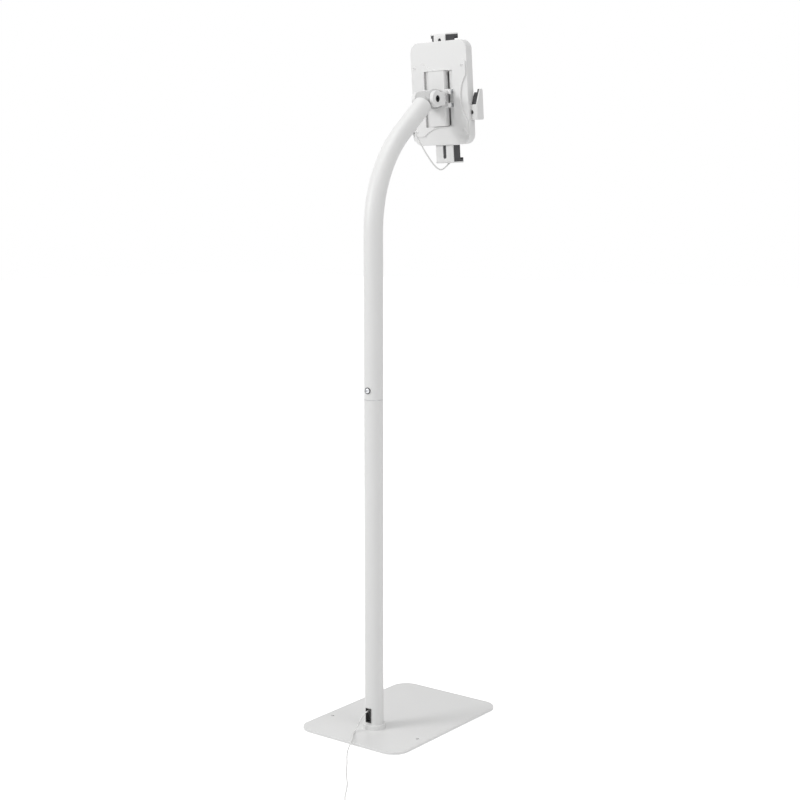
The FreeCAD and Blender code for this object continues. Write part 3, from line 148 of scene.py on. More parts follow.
# The plug at the lead's far end: across, along the lead and up
PLUG_RELIEF = 0.009
PLUG_SIZE = Vector((0.016, 0.024, 0.008))
PLUG_ROUND = 0.0016
PLUG_GRIPS = 5
PLUG_GRIP_SIZE = Vector((0.0006, 0.0011, 0.0046))
PLUG_GRIP_START = 0.006
PLUG_GRIP_PITCH = 0.0028
TONGUE_SIZE = Vector((0.0100, 0.0110, 0.0017))
TONGUE_ROUND = 0.0003
TONGUE_PLACE = Vector((0.0, PLUG_SIZE.y + 0.0060, -0.0008))

# The connector in the bottom jaw's notch, in the holder's axes
CONNECTOR_SIZE = Vector((0.0120, 0.0120, 0.0072))
CONNECTOR_ROUND = 0.0015
CONNECTOR_MIDDLE = Vector((0.0, -0.0241, -0.1271))
CONNECTOR_RELIEF_START = Vector((0.0, -0.0269, -0.1287))
CONNECTOR_RELIEF_SLOPE = math.radians(30.0)
CONNECTOR_RELIEF = 0.0090

CAMERA_PLACE = (-1.6938, 2.1410, 1.0068)
CAMERA_AHEAD = Vector((0.60273, -0.79229, -0.09483))
CAMERA_LENS = 62.97
CAMERA_SHIFT_UP = -0.05

# Each lamp's place and the side of its square
KEY_LAMP = ((1.62, 2.39, 2.05), 1.0)
FILL_LAMP = ((-2.9, 0.4, 1.6), 2.4)
TOP_LAMP = ((0.3, 0.9, 4.6), 2.5)
LAMP_TARGET = Vector((0.0, -0.1, 0.75))


class Value:
    """One socket of a shader. Arithmetic on it adds Math nodes."""

    def __init__(self, finish, socket):
        self.finish = finish
        self.socket = socket

    def math(self, operation, first, second):
        return self.finish.node("ShaderNodeMath", {"operation": operation}, {0: first, 1: second})

    def __add__(self, other):
        return self.math("ADD", self, other)

    def __radd__(self, other):
        return self.math("ADD", other, self)

    def __rsub__(self, other):
        return self.math("SUBTRACT", other, self)

    def __mul__(self, other):
        return self.math("MULTIPLY", self, other)

    def __rmul__(self, other):
        return self.math("MULTIPLY", other, self)

    def between(self, low, high):
        """0 below low, 1 above high and a straight ramp in between."""
        ramp = {"From Min": low, "From Max": high, "Value": self}
        return self.finish.node("ShaderNodeMapRange", {"clamp": True}, ramp)


class Finish:
    """A material round one Principled shader. node() adds any other node."""

    def __init__(self, name):
        self.material = bpy.data.materials.new(name)
        self.material.use_nodes = True
        self.tree = self.material.node_tree
        self.shader = self.tree.nodes["Principled BSDF"]
        self.place = self.node("ShaderNodeTexCoord", output="Object")

    def node(self, kind, settings=None, inputs=None, output=0):
        made = self.tree.nodes.new(kind)
        for key, value in (settings or {}).items():
            setattr(made, key, value)
        for key, value in (inputs or {}).items():
            self.feed(made.inputs[key], value)
        return Value(self, made.outputs[output])

    def feed(self, socket, value):
        if isinstance(value, Value):
            self.tree.links.new(value.socket, socket)
        else:
            socket.default_value = value

    def set(self, **sockets):
        """Feeds the Principled shader: base_color= goes to Base Color, and so on."""
        for key, value in sockets.items():
            name = key.replace("_", " ").title().replace("Ior", "IOR")
            self.feed(self.shader.inputs[name], value)
        return self

    def noise(self, scale, detail=2.0, roughness=0.5, stretch=None):
        place = self.place
        if stretch:
            place = self.node("ShaderNodeMapping", inputs={"Vector": place, "Scale": stretch})
        inputs = {"Vector": place, "Scale": scale, "Detail": detail, "Roughness": roughness}
        return self.node("ShaderNodeTexNoise", inputs=inputs, output="Fac")

    def cells(self, scale, output="Distance"):
        return self.node("ShaderNodeTexVoronoi", inputs={"Vector": self.place, "Scale": scale}, output=output)

    def mix(self, mask, first, second):
        """A colour between two colours."""
        return self.node("ShaderNodeMix", {"data_type": "RGBA"}, {0: mask, 6: first, 7: second}, output=2)

    def bump(self, height, depth, strength=1.0):
        inputs = {"Height": height, "Distance": depth, "Strength": strength}
        normal = self.node("ShaderNodeBump", inputs=inputs, output="Normal")
        return self.feed(self.shader.inputs["Normal"], normal)


def rgba(colour, share=1.0):
    return (*(channel * share for channel in colour), 1.0)


def powder_coat(name, colour, roughness, grain):
    """Sprayed powder coat: an even satin skin with a fine orange peel and the faintest clouding."""
    finish = Finish(name)
    clouds = finish.noise(7.0, detail=3.0).between(0.35, 0.65)
    peel = finish.noise(grain, detail=2.0, roughness=0.55)
    fine = finish.noise(grain * 3.1, detail=1.0)
    finish.set(
        base_color=finish.mix(clouds, rgba(colour, 0.985), rgba(colour)),
        roughness=roughness - 0.04 + peel * 0.08,
    )
    finish.bump(peel * 0.7 + fine * 0.3, 0.00012, 0.5)
    return finish.material


def cast_coat(name, colour, roughness):
    """The same coat over cast alloy, whose skin is coarser and slightly pitted."""
    finish = Finish(name)
    skin = finish.noise(260.0, detail=4.0, roughness=0.6)
    pits = finish.cells(420.0).between(0.0, 0.25)
    clouds = finish.noise(30.0, detail=2.0).between(0.3, 0.7)
    finish.set(
        base_color=finish.mix(clouds, rgba(colour, 0.975), rgba(colour)),
        roughness=roughness - 0.05 + skin * 0.1,
    )
    finish.bump(skin * 0.8 + pits * 0.2, 0.0002, 0.5)
    return finish.material


def zinc_steel(name, colour):
    """Bright zinc plating on turned steel: fine rings of brushing and a slightly blue cloud."""
    finish = Finish(name)
    brushed = finish.noise(900.0, detail=3.0, stretch=(1.0, 0.08, 1.0))
    cloud = finish.noise(120.0, detail=2.0)
    finish.set(
        base_color=finish.mix(cloud, rgba(colour, 0.9), rgba(colour, 1.08)),
        metallic=1.0,
        roughness=0.24 + brushed * 0.18,
    )
    finish.bump(brushed, 0.00003, 0.4)
    return finish.material


def black_oxide(name, colour):
    """Blackened steel of screws: dark, slightly shiny and oiled, paler where it is rubbed."""
    finish = Finish(name)
    rubbed = finish.noise(380.0, detail=4.0, roughness=0.65).between(0.52, 0.8)
    finish.set(
        base_color=finish.mix(rubbed, rgba(colour), rgba(colour, 2.0)),
        metallic=0.55,
        roughness=0.36 + rubbed * 0.14,
    )
    finish.bump(finish.noise(1400.0), 0.00003, 0.3)
    return finish.material


def rubber(name, colour):
    """Matt moulded rubber with a close pebble."""
    finish = Finish(name)
    pebble = finish.cells(1300.0)
    dust = finish.noise(240.0, detail=4.0).between(0.5, 0.75)
    finish.set(
        base_color=finish.mix(dust, rgba(colour), rgba(colour, 1.5)),
        roughness=0.78 + pebble * 0.12,
        specular_ior_level=0.3,
    )
    finish.bump(pebble, 0.00012, 0.6)
    return finish.material


def moulded_plastic(name, colour, roughness, grain):
    """Spark-eroded plastic: an even fine grain, a little shinier on its high spots."""
    finish = Finish(name)
    spark = finish.noise(grain, detail=3.0, roughness=0.6)
    finish.set(
        base_color=finish.mix(spark.between(0.3, 0.7), rgba(colour, 0.92), rgba(colour, 1.04)),
        roughness=roughness + 0.08 - spark * 0.16,
    )
    finish.bump(spark, 0.00006, 0.5)
    return finish.material


def lead_jacket(name, colour):
    """The soft white jacket of the lead: smooth, with faint ripples from extrusion."""
    finish = Finish(name)
    ripple = finish.noise(160.0, detail=1.0)
    finish.set(
        base_color=finish.mix(ripple.between(0.3, 0.7), rgba(colour, 0.97), rgba(colour)),
        roughness=0.4 + ripple * 0.1,
        coat_weight=0.08,
    )
    finish.bump(ripple, 0.0001, 0.3)
    return finish.material


def seen_directly(finish):
    """1 for camera, mirror and glass rays, which see the bright studio."""
    path = finish.tree.nodes.new("ShaderNodeLightPath")
    names = ("Is Camera Ray", "Is Glossy Ray", "Is Transmission Ray")
    rays = [Value(finish, path.outputs[name]) for name in names]
    either = rays[0].math("MAXIMUM", rays[0], rays[1])
    return either.math("MAXIMUM", either, rays[2])


def shown(name, mesh, material):
    """An object at the origin that shows a finished mesh."""
    mesh.materials.clear()
    mesh.materials.append(material)
    piece = bpy.data.objects.new(name, mesh)
    bpy.context.scene.collection.objects.link(piece)
    return piece


def mesh_from(bm, name, smooth=True):
    mesh = bpy.data.meshes.new(name)
    bm.to_mesh(mesh)
    bm.free()
    for polygon in mesh.polygons:
        polygon.use_smooth = smooth
    return mesh


def smooth_curve(name, points, radius, material):
    """An open NURBS curve that has the route's points as its control points."""
    curve = bpy.data.curves.new(name, "CURVE")
    curve.dimensions = "3D"
    spline = curve.splines.new("NURBS")
    spline.points.add(len(points) - 1)
    for control, point in zip(spline.points, points):
        control.co = (*point, 1.0)
    spline.order_u = 3
    spline.use_endpoint_u = True
    spline.resolution_u = 8
    curve.bevel_depth = radius
    curve.bevel_resolution = 5
    curve.use_fill_caps = radius > 0
    curve.materials.append(material)
    piece = bpy.data.objects.new(name, curve)
    bpy.context.scene.collection.objects.link(piece)
    return piece


def line_of(points):
    """The points along a route's NURBS curve."""
    guide = smooth_curve("guide", points, 0.0, None)
    bpy.context.view_layer.update()
    mesh = bpy.data.meshes.new_from_object(guide)
    line = [vertex.co.copy() for vertex in mesh.vertices]
    curve = guide.data
    bpy.data.objects.remove(guide)
    bpy.data.curves.remove(curve)
    bpy.data.meshes.remove(mesh)
    return line


def length_of(line):
    return sum((b - a).length for a, b in zip(line, line[1:]))


def tube_along(name, line, radius, material):
    """A mesh tube round a line of points, closed at both ends."""
    curve = bpy.data.curves.new(name, "CURVE")
    curve.dimensions = "3D"
    spline = curve.splines.new("POLY")
    spline.points.add(len(line) - 1)
    for control, point in zip(spline.points, line):
        control.co = (*point, 1.0)
    curve.bevel_depth = radius
    curve.bevel_resolution = 5
    curve.use_fill_caps = True
    guide = bpy.data.objects.new(name + "_guide", curve)
    bpy.context.scene.collection.objects.link(guide)
    bpy.context.view_layer.update()
    mesh = bpy.data.meshes.new_from_object(guide)
    bpy.data.objects.remove(guide)
    bpy.data.curves.remove(curve)
    mesh.name = name
    for polygon in mesh.polygons:
        polygon.use_smooth = len(polygon.vertices) == 4
    return shown(name, mesh, material)


def lathe(bm, profile, steps=32):
    """Turns (radius, height) points round the z axis into a closed shape."""
    vertices = [bm.verts.new((radius, 0.0, height)) for radius, height in profile]
    edges = [bm.edges.new(pair) for pair in zip(vertices, vertices[1:])]
    bmesh.ops.spin(
        bm,
        geom=vertices + edges,
        cent=(0.0, 0.0, 0.0),
        axis=(0.0, 0.0, 1.0),
        angle=2 * math.pi,
        steps=steps,
        use_merge=True,
    )
    bmesh.ops.remove_doubles(bm, verts=bm.verts, dist=1e-7)
    bmesh.ops.recalc_face_normals(bm, faces=bm.faces)


def ribbed_relief(bm, length, thick, thin, ribs):
    """A tapering strain relief along +z, with a groove between every two ribs."""
    profile = [(0.0, 0.0), (thick, 0.0)]
    rib = length / (2 * ribs + 1)
    for i in range(ribs):
        start = rib * (2 * i + 1)
        here = thick + (thin - thick) * start / length
        groove = here * 0.8
        profile += [(here, start), (groove, start + rib * 0.2), (groove, start + rib * 0.8)]
        profile.append((here * 0.97, start + rib))
    profile += [(thin, length * 0.97), (thin * 0.9, length), (0.0, length)]
    lathe(bm, profile, steps=28)


def facing(start, direction):
    """Turns +z to a direction and moves the origin to start."""
    return Matrix.Translation(start) @ direction.to_track_quat("Z", "Y").to_matrix().to_4x4()


def rounded_box(bm, size, radius, segments=4):
    """A box of that size centred on the origin with all its edges rounded."""
    made = bmesh.ops.create_cube(bm, size=1.0)["verts"]
    bmesh.ops.scale(bm, vec=size, verts=made)
    edges = list({edge for vertex in made for edge in vertex.link_edges})
    bmesh.ops.bevel(
        bm,
        geom=edges,
        offset=radius,
        offset_type="OFFSET",
        affect="EDGES",
        segments=segments,
        profile=0.5,
        material=-1,
    )


class LeadSettings(bpy.types.PropertyGroup):
    diameter: bpy.props.FloatProperty(
        name="Diameter",
        description="Outside diameter of the charging lead",
        default=0.003,
        min=0.002,
        max=0.006,
        unit="LENGTH",
    )
    colour: bpy.props.FloatVectorProperty(
        name="Jacket",
        description="Colour of the lead's jacket",
        default=(0.80, 0.80, 0.79),
        min=0.0,
        max=1.0,
        subtype="COLOR",
    )


class FinishSettings(bpy.types.PropertyGroup):
    coat: bpy.props.FloatVectorProperty(
        name="Coat",
        description="Colour of the powder coat on the sheet steel and the tube",
        default=(0.80, 0.80, 0.795),
        min=0.0,
        max=1.0,
        subtype="COLOR",
    )
    coat_roughness: bpy.props.FloatProperty(
        name="Coat roughness",
        description="How matt the powder coat is",
        default=0.42,
        min=0.1,
        max=0.9,
        subtype="FACTOR",
    )
    steel: bpy.props.FloatVectorProperty(
        name="Bare steel",
        description="Colour of the zinc-plated parts",
        default=(0.60, 0.61, 0.63),
        min=0.0,
        max=1.0,
        subtype="COLOR",
    )
    black: bpy.props.FloatVectorProperty(
        name="Black parts",
        description="Colour of the black plastic, rubber and fasteners",
        default=(0.013, 0.013, 0.014),
        min=0.0,
        max=1.0,
        subtype="COLOR",
    )


class StudioSettings(bpy.types.PropertyGroup):
    world: bpy.props.FloatProperty(
        name="Surrounding light",
        description="Strength of the even light from all round",
        default=0.37,
        min=0.0,
        max=2.0,
    )
    key: bpy.props.FloatProperty(
        name="Key lamp",
        description="Power of the smaller lamp on the camera's left",
        default=38.0,
        min=0.0,
        max=500.0,
        unit="POWER",
    )
    fill: bpy.props.FloatProperty(
        name="Fill lamp",
        description="Power of the large lamp on the camera's right",
        default=24.0,
        min=0.0,
        max=500.0,
        unit="POWER",
    )
    top: bpy.props.FloatProperty(
        name="Top lamp",
        description="Power of the wide lamp above the base",
        default=55.0,
        min=0.0,
        max=500.0,
        unit="POWER",
    )
    floor_glow: bpy.props.FloatProperty(
        name="Floor glow",
        description="Light that the floor adds where it is seen directly, so that it fades into white",
        default=0.8,
        min=0.0,
        max=2.0,
    )
    floor_size: bpy.props.FloatProperty(
        name="Floor size",
        description="Side of the square floor",
        default=40.0,
        min=2.0,
        max=100.0,
        unit="LENGTH",
    )


class TABLETSTAND_OT_camera(bpy.types.Operator):
    """Puts the camera behind the stand and to one side, close to where the photograph was taken"""

    bl_idname = "tablet_stand.camera"
    bl_label = "Camera"

    def execute(self, context):
        data = bpy.data.cameras.new("camera")
        data.sensor_width = 36.0
        data.lens = CAMERA_LENS
        data.shift_y = CAMERA_SHIFT_UP
        data.clip_start = 0.05
        data.clip_end = 200.0
        camera = bpy.data.objects.new("camera", data)
        camera.location = CAMERA_PLACE
        camera.rotation_euler = CAMERA_AHEAD.to_track_quat("-Z", "Y").to_euler()
        context.scene.collection.objects.link(camera)
        context.scene.camera = camera
        return {"FINISHED"}


def coil_points():
    """The coil as more points of the lower lead's own spline."""
    shrink = 1.0 / math.cos(math.pi / COIL_POINTS_PER_TURN)
    outer = COIL_INNER_RADIUS + COIL_PITCH * COIL_TURNS
    half_turn = COIL_POINTS_PER_TURN // 2
    inward = COIL_TURNS * COIL_POINTS_PER_TURN
    outward = round(COIL_TURNS_OUT * COIL_POINTS_PER_TURN)
    points = []
    for i in range(inward + half_turn + outward + 1):
        if i <= inward:
            radius = outer - COIL_PITCH * i / COIL_POINTS_PER_TURN
            level = COIL_FLOOR_LEVEL
        elif i < inward + half_turn:
            radius = COIL_INNER_RADIUS
            level = COIL_FLOOR_LEVEL + COIL_PITCH * (i - inward) / half_turn
        else:
            radius = COIL_INNER_RADIUS + COIL_PITCH * (i - inward - half_turn) / COIL_POINTS_PER_TURN
            level = COIL_FLOOR_LEVEL + COIL_PITCH
        angle = COIL_START + 2 * math.pi * i / COIL_POINTS_PER_TURN
        around = Vector((math.cos(angle), math.sin(angle), 0.0))
        points.append(COIL_CENTRE + around * radius * shrink + Vector((0.0, 0.0, level)))
    return points


class TABLETSTAND_OT_lower_lead(bpy.types.Operator):
    """Makes the lead from the pole's slot over the base to its coil on the floor"""

    bl_idname = "tablet_stand.lower_lead"
    bl_label = "Lower lead"

    def execute(self, context):
        settings = context.scene.tablet_stand_lead
        jacket = lead_jacket("lead_jacket", settings.colour)
        coil = coil_points()
        end = [COIL_OUT - COIL_HEADING * COIL_END_LENGTH, COIL_OUT]
        points = [Vector(p) for p in ROUTE_LOWER] + coil[:-1] + end
        lead = smooth_curve("charging_lead_lower", points, settings.diameter / 2, jacket)
        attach(lead, "stand")
        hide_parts("lead_lower", "lead_coil")
        return {"FINISHED"}


def upper_stretches():
    """The upper lead's line in three parts that share their end points."""
    line = line_of(ROUTE_UPPER)
    whole = length_of(line)
    cuts = [0]
    for share in (UPPER_AT_TILT_HEAD, UPPER_AT_HOLDER):
        cuts.append(next(i for i in range(len(line)) if length_of(line[: i + 1]) >= share * whole))
    cuts.append(len(line) - 1)
    return [line[a : b + 1] for a, b in zip(cuts, cuts[1:])]


class TABLETSTAND_OT_upper_lead(bpy.types.Operator):
    """Makes the lead from the arm's grommet to the connector, with one stretch for each joint it crosses"""

    bl_idname = "tablet_stand.upper_lead"
    bl_label = "Upper lead"

    def execute(self, context):
        settings = context.scene.tablet_stand_lead
        jacket = bpy.data.materials["lead_jacket"]
        joints = [("stand", "tilt_head"), ("tilt_head", "holder"), ("holder", "bottom_clamp")]
        for name, part, bodies in zip(UPPER_LEAD_PIECES, upper_stretches(), joints):
            piece = tube_along(name, part, settings.diameter / 2, jacket)
            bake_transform(piece)
        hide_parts("lead_upper")
        return {"FINISHED"}


class TABLETSTAND_OT_lead_in_pole(bpy.types.Operator):
    """Makes the hidden stretch of the lead inside the pole"""

    bl_idname = "tablet_stand.lead_in_pole"
    bl_label = "Lead in the pole"

    def execute(self, context):
        settings = context.scene.tablet_stand_lead
        jacket = bpy.data.materials["lead_jacket"]
        lead = smooth_curve("charging_lead_in_pole", ROUTE_IN_POLE, settings.diameter / 2, jacket)
        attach(lead, "stand")
        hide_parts("lead_in_pole")
        return {"FINISHED"}


class TABLETSTAND_OT_plug(bpy.types.Operator):
    """Makes the plug at the lead's far end: a moulded grip, its strain relief and the contact tongue"""

    bl_idname = "tablet_stand.plug"
    bl_label = "Plug"

    def execute(self, context):
        colour = context.scene.tablet_stand_lead.colour
        plastic = moulded_plastic("plug_plastic", colour, 0.42, 900.0)
        end = COIL_OUT + COIL_HEADING * PLUG_RELIEF
        end.z = PLUG_SIZE.z / 2
        along = Vector((COIL_HEADING.x, COIL_HEADING.y, 0.0)).normalized()
        turn = Matrix.Rotation(math.atan2(along.y, along.x) - math.pi / 2, 4, "Z")

        bm = bmesh.new()
        rounded_box(bm, PLUG_SIZE, PLUG_ROUND)
        bmesh.ops.translate(bm, vec=(0.0, PLUG_SIZE.y / 2, 0.0), verts=bm.verts)
        for i in range(PLUG_GRIPS):
            for side in (-1, 1):
                grip = bmesh.ops.create_cube(bm, size=1.0)["verts"]
                bmesh.ops.scale(bm, vec=PLUG_GRIP_SIZE, verts=grip)
                spot = (side * (PLUG_SIZE.x / 2 + 0.0001), PLUG_GRIP_START + i * PLUG_GRIP_PITCH, 0.0)
                bmesh.ops.translate(bm, vec=spot, verts=grip)
        bmesh.ops.transform(bm, matrix=Matrix.Translation(end) @ turn, verts=bm.verts)
        relief = bmesh.new()
        ribbed_relief(relief, PLUG_RELIEF + 0.0005, 0.0031, 0.0021, 3)
        bmesh.ops.transform(relief, matrix=facing(end + along * 0.0003, COIL_OUT - end), verts=relief.verts)
        relief_mesh = mesh_from(relief, "relief")
        bm.from_mesh(relief_mesh)
        bpy.data.meshes.remove(relief_mesh)
        plug = shown("charging_plug", mesh_from(bm, "charging_plug"), plastic)
        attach(plug, "stand")
        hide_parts("lead_plug")

        tongue = bmesh.new()
        rounded_box(tongue, TONGUE_SIZE, TONGUE_ROUND, segments=2)
        place = Matrix.Translation(end) @ turn @ Matrix.Translation(TONGUE_PLACE)
        bmesh.ops.transform(tongue, matrix=place, verts=tongue.verts)
        piece = shown("plug_tongue", mesh_from(tongue, "plug_tongue"), plastic)
        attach(piece, "stand")
        return {"FINISHED"}


class TABLETSTAND_OT_connector(bpy.types.Operator):
    """Makes the low right-angle connector in the bottom jaw's notch"""

    bl_idname = "tablet_stand.connector"
    bl_label = "Connector"

    def execute(self, context):
        plastic = bpy.data.materials["plug_plastic"]
        bm = bmesh.new()
        rounded_box(bm, CONNECTOR_SIZE, CONNECTOR_ROUND)
        bmesh.ops.translate(bm, vec=CONNECTOR_MIDDLE, verts=bm.verts)
        relief = bmesh.new()
        ribbed_relief(relief, CONNECTOR_RELIEF, 0.0023, 0.0019, 4)
        away = Vector((0.0, math.cos(CONNECTOR_RELIEF_SLOPE), -math.sin(CONNECTOR_RELIEF_SLOPE)))
        bmesh.ops.transform(relief, matrix=facing(CONNECTOR_RELIEF_START, away), verts=relief.verts)
        relief_mesh = mesh_from(relief, "relief")
        bm.from_mesh(relief_mesh)
        bpy.data.meshes.remove(relief_mesh)
        bmesh.ops.transform(bm, matrix=HOLDER, verts=bm.verts)
        piece = shown("charging_connector", mesh_from(bm, "charging_connector"), plastic)
        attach(piece, "bottom_clamp")
        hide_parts("lead_connector")
        return {"FINISHED"}


def ribbed_pad(bm, centre):
    """One pad in the holder's axes: a rounded plate that rises to its ribs."""
    plate = bmesh.ops.create_cube(bm, size=1.0)["verts"]
    bmesh.ops.scale(bm, vec=(PAD_SIZE.x, PAD_SIZE.y - PAD_RIB_HEIGHT, PAD_SIZE.z), verts=plate)
    corners = list({edge for vertex in plate for edge in vertex.link_edges if is_along_y(edge)})
    rounded = bmesh.ops.bevel(
        bm,
        geom=corners,
        offset=PAD_CORNER_RADIUS,
        offset_type="OFFSET",
        affect="EDGES",
        segments=8,
        profile=0.5,
        material=-1,
    )
    plate = list({*rounded["verts"], *(vertex for vertex in plate if vertex.is_valid)})
    plate_middle = -PAD_BACK - (PAD_SIZE.y - PAD_RIB_HEIGHT) / 2
    bmesh.ops.translate(bm, vec=(centre[0], plate_middle, centre[1]), verts=plate)
    for i in range(PAD_RIBS):
        rib = bmesh.ops.create_cube(bm, size=1.0)["verts"]
        rib_size = (PAD_SIZE.x - 2 * PAD_CORNER_RADIUS, 2 * PAD_RIB_HEIGHT, PAD_RIB_WIDTH)
        bmesh.ops.scale(bm, vec=rib_size, verts=rib)
        up = (i - (PAD_RIBS - 1) / 2) * PAD_RIB_PITCH
        rib_middle = -PAD_BACK - PAD_SIZE.y + PAD_RIB_HEIGHT
        bmesh.ops.translate(bm, vec=(centre[0], rib_middle, centre[1] + up), verts=rib)


def is_along_y(edge):
    start, end = (vertex.co for vertex in edge.verts)
    return abs(start.x - end.x) < 1e-6 and abs(start.z - end.z) < 1e-6


class TABLETSTAND_OT_pads(bpy.types.Operator):
    """Makes the four ribbed rubber pads on the front plate"""

    bl_idname = "tablet_stand.pads"
    bl_label = "Pads"

    def execute(self, context):
        bm = bmesh.new()
        for x in (-PAD_PLACE.x, PAD_PLACE.x):
            for z in (-PAD_PLACE.y, PAD_PLACE.y):
                ribbed_pad(bm, (x, z))
        bmesh.ops.transform(bm, matrix=HOLDER, verts=bm.verts)
        bmesh.ops.recalc_face_normals(bm, faces=bm.faces)
        mesh = mesh_from(bm, "ribbed_pads", smooth=False)
        pads = shown("ribbed_pads", mesh, bpy.data.materials["black_rubber"])
        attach(pads, "holder")
        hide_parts("tablet_pads")
        return {"FINISHED"}


class TABLETSTAND_OT_declare_leads(bpy.types.Operator):
    """Goes through the upper lead's stretches and the pieces that go with them, and states nothing about them
    """

    bl_idname = "tablet_stand.declare_leads"
    bl_label = "Declare the leads"

    def execute(self, context):
        carried_pieces = [[], [], ["charging_connector", "connector_tip"]]
        for name, part, carried in zip(UPPER_LEAD_PIECES, upper_stretches(), carried_pieces):
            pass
        return {"FINISHED"}


FINISH_OF_SLOT = {
    "white_coat": "sheet_coat",
    "white_alloy": "cast_coat",
    "black_fastener": "black_oxide",
    "plain_steel": "zinc_steel",
    "black_rubber": "black_rubber",
    "black_plastic": "black_plastic",
    "white_lead": "lead_jacket",
}
# Painted shade: the tilt knuckle and the rotation disc, which are white alloy, get the cast coat darkened to
# 0.66 of its colour
PAINTED_SHADE_OF_NODE = {"tilt_knuckle": "painted_shade_cast_coat", "rotation_disc": "painted_shade_cast_coat"}
PAINTED_SHADE_SHARE = 0.66


class TABLETSTAND_OT_finishes(bpy.types.Operator):
    """Gives every CAD part the finish of its material slot, and paints shade on two cast parts with a darker
    copy of the cast coat
    """

    bl_idname = "tablet_stand.finishes"
    bl_label = "Finishes"

    def execute(self, context):
        settings = context.scene.tablet_stand_finish
        powder_coat("sheet_coat", settings.coat, settings.coat_roughness, 520.0)
        cast_coat("cast_coat", settings.coat, settings.coat_roughness + 0.04)
        # This darker copy of the cast coat is painted shade, not a grey alloy
        shaded_coat_colour = [channel * PAINTED_SHADE_SHARE for channel in settings.coat]
        cast_coat("painted_shade_cast_coat", shaded_coat_colour, settings.coat_roughness + 0.04)
        zinc_steel("zinc_steel", settings.steel)
        black_oxide("black_oxide", settings.black)
        rubber("black_rubber", settings.black)
        moulded_plastic("black_plastic", settings.black, 0.5, 1300.0)
        for node, piece in frame["nodes"].items():
            finish = PAINTED_SHADE_OF_NODE.get(node, FINISH_OF_SLOT[SLOT_OF_NODE[node]])
            material = bpy.data.materials[finish]
            piece.data.materials.clear()
            piece.data.materials.append(material)
        return {"FINISHED"}


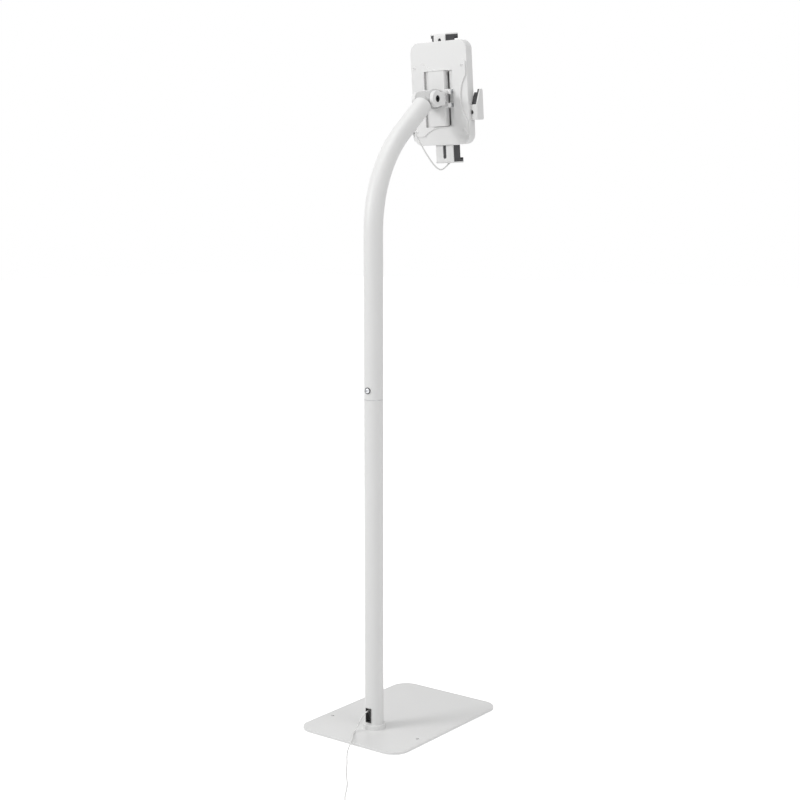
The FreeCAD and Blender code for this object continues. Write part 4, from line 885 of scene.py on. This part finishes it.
class TABLETSTAND_OT_studio(bpy.types.Operator):
    """Makes the pale floor, the soft lamps and the white surroundings"""

    bl_idname = "tablet_stand.studio"
    bl_label = "Studio"

    def execute(self, context):
        settings = context.scene.tablet_stand_studio
        self.floor(context, settings)
        self.world(context, settings)
        self.lamp(context, "key_lamp", *KEY_LAMP, settings.key)
        self.lamp(context, "fill_lamp", *FILL_LAMP, settings.fill)
        self.lamp(context, "top_lamp", *TOP_LAMP, settings.top)
        context.scene.view_settings.view_transform = "Standard"
        return {"FINISHED"}

    def floor(self, context, settings):
        bm = bmesh.new()
        bmesh.ops.create_grid(bm, x_segments=1, y_segments=1, size=settings.floor_size / 2)
        bmesh.ops.translate(bm, vec=(0.0, 0.0, -0.0004), verts=bm.verts)
        finish = Finish("studio_floor")
        grain = finish.noise(40.0, detail=3.0)
        finish.set(
            base_color=finish.mix(grain, rgba((0.86, 0.86, 0.86)), rgba((0.88, 0.88, 0.88))),
            roughness=0.85,
            specular_ior_level=0.2,
        )
        strength = seen_directly(finish) * settings.floor_glow
        glow_inputs = {"Color": rgba((1.0, 1.0, 1.0)), "Strength": strength}
        glow = finish.node("ShaderNodeEmission", inputs=glow_inputs)
        surface = Value(finish, finish.shader.outputs["BSDF"])
        both = finish.node("ShaderNodeAddShader", inputs={0: surface, 1: glow})
        output = finish.tree.nodes["Material Output"]
        finish.feed(output.inputs["Surface"], both)
        floor = shown("studio_floor", mesh_from(bm, "studio_floor", smooth=False), finish.material)

    def world(self, context, settings):
        world = bpy.data.worlds.new("studio")
        world.use_nodes = True
        context.scene.world = world
        tree = world.node_tree
        tree.nodes.clear()
        path = tree.nodes.new("ShaderNodeLightPath")
        either = tree.nodes.new("ShaderNodeMath")
        either.operation = "MAXIMUM"
        tree.links.new(path.outputs["Is Camera Ray"], either.inputs[0])
        tree.links.new(path.outputs["Is Glossy Ray"], either.inputs[1])
        light = tree.nodes.new("ShaderNodeBackground")
        light.inputs["Color"].default_value = (1.0, 1.0, 1.0, 1.0)
        light.inputs["Strength"].default_value = settings.world
        backdrop = tree.nodes.new("ShaderNodeBackground")
        backdrop.inputs["Color"].default_value = (1.0, 1.0, 1.0, 1.0)
        backdrop.inputs["Strength"].default_value = 1.0
        both = tree.nodes.new("ShaderNodeMixShader")
        tree.links.new(either.outputs[0], both.inputs[0])
        tree.links.new(light.outputs[0], both.inputs[1])
        tree.links.new(backdrop.outputs[0], both.inputs[2])
        output = tree.nodes.new("ShaderNodeOutputWorld")
        tree.links.new(both.outputs[0], output.inputs["Surface"])

    def lamp(self, context, name, place, size, power):
        data = bpy.data.lights.new(name, "AREA")
        data.shape = "SQUARE"
        data.size = size
        data.energy = power
        lamp = bpy.data.objects.new(name, data)
        lamp.location = place
        lamp.rotation_euler = (LAMP_TARGET - Vector(place)).to_track_quat("-Z", "Y").to_euler()
        context.scene.collection.objects.link(lamp)


OPERATORS = [
    TABLETSTAND_OT_camera,
    TABLETSTAND_OT_lower_lead,
    TABLETSTAND_OT_upper_lead,
    TABLETSTAND_OT_lead_in_pole,
    TABLETSTAND_OT_plug,
    TABLETSTAND_OT_connector,
    TABLETSTAND_OT_declare_leads,
    TABLETSTAND_OT_finishes,
    TABLETSTAND_OT_pads,
    TABLETSTAND_OT_studio,
]


class VIEW3D_PT_tablet_stand(bpy.types.Panel):
    """Lists the stand's settings and its pieces"""

    bl_idname = "VIEW3D_PT_tablet_stand"
    bl_label = "Tablet Stand"
    bl_space_type = "VIEW_3D"
    bl_region_type = "UI"
    bl_category = "Tablet Stand"

    def draw(self, context):
        for settings in ("tablet_stand_lead", "tablet_stand_finish", "tablet_stand_studio"):
            group = getattr(context.scene, settings)
            box = self.layout.box()
            for name in group.bl_rna.properties.keys():
                if name not in ("rna_type", "name"):
                    box.prop(group, name)
        for operator in OPERATORS:
            self.layout.operator(operator.bl_idname)


SETTINGS = {
    "tablet_stand_lead": LeadSettings,
    "tablet_stand_finish": FinishSettings,
    "tablet_stand_studio": StudioSettings,
}


def register():
    for name, group in SETTINGS.items():
        bpy.utils.register_class(group)
        setattr(bpy.types.Scene, name, bpy.props.PointerProperty(type=group))
    for operator in OPERATORS:
        bpy.utils.register_class(operator)
    bpy.utils.register_class(VIEW3D_PT_tablet_stand)


def unregister():
    bpy.utils.unregister_class(VIEW3D_PT_tablet_stand)
    for operator in reversed(OPERATORS):
        bpy.utils.unregister_class(operator)
    for name, group in SETTINGS.items():
        delattr(bpy.types.Scene, name)
        bpy.utils.unregister_class(group)


def main():
    register()
    for operator in OPERATORS:
        getattr(bpy.ops.tablet_stand, operator.bl_idname.split(".")[1])()


if __name__ == "__main__":
    main()
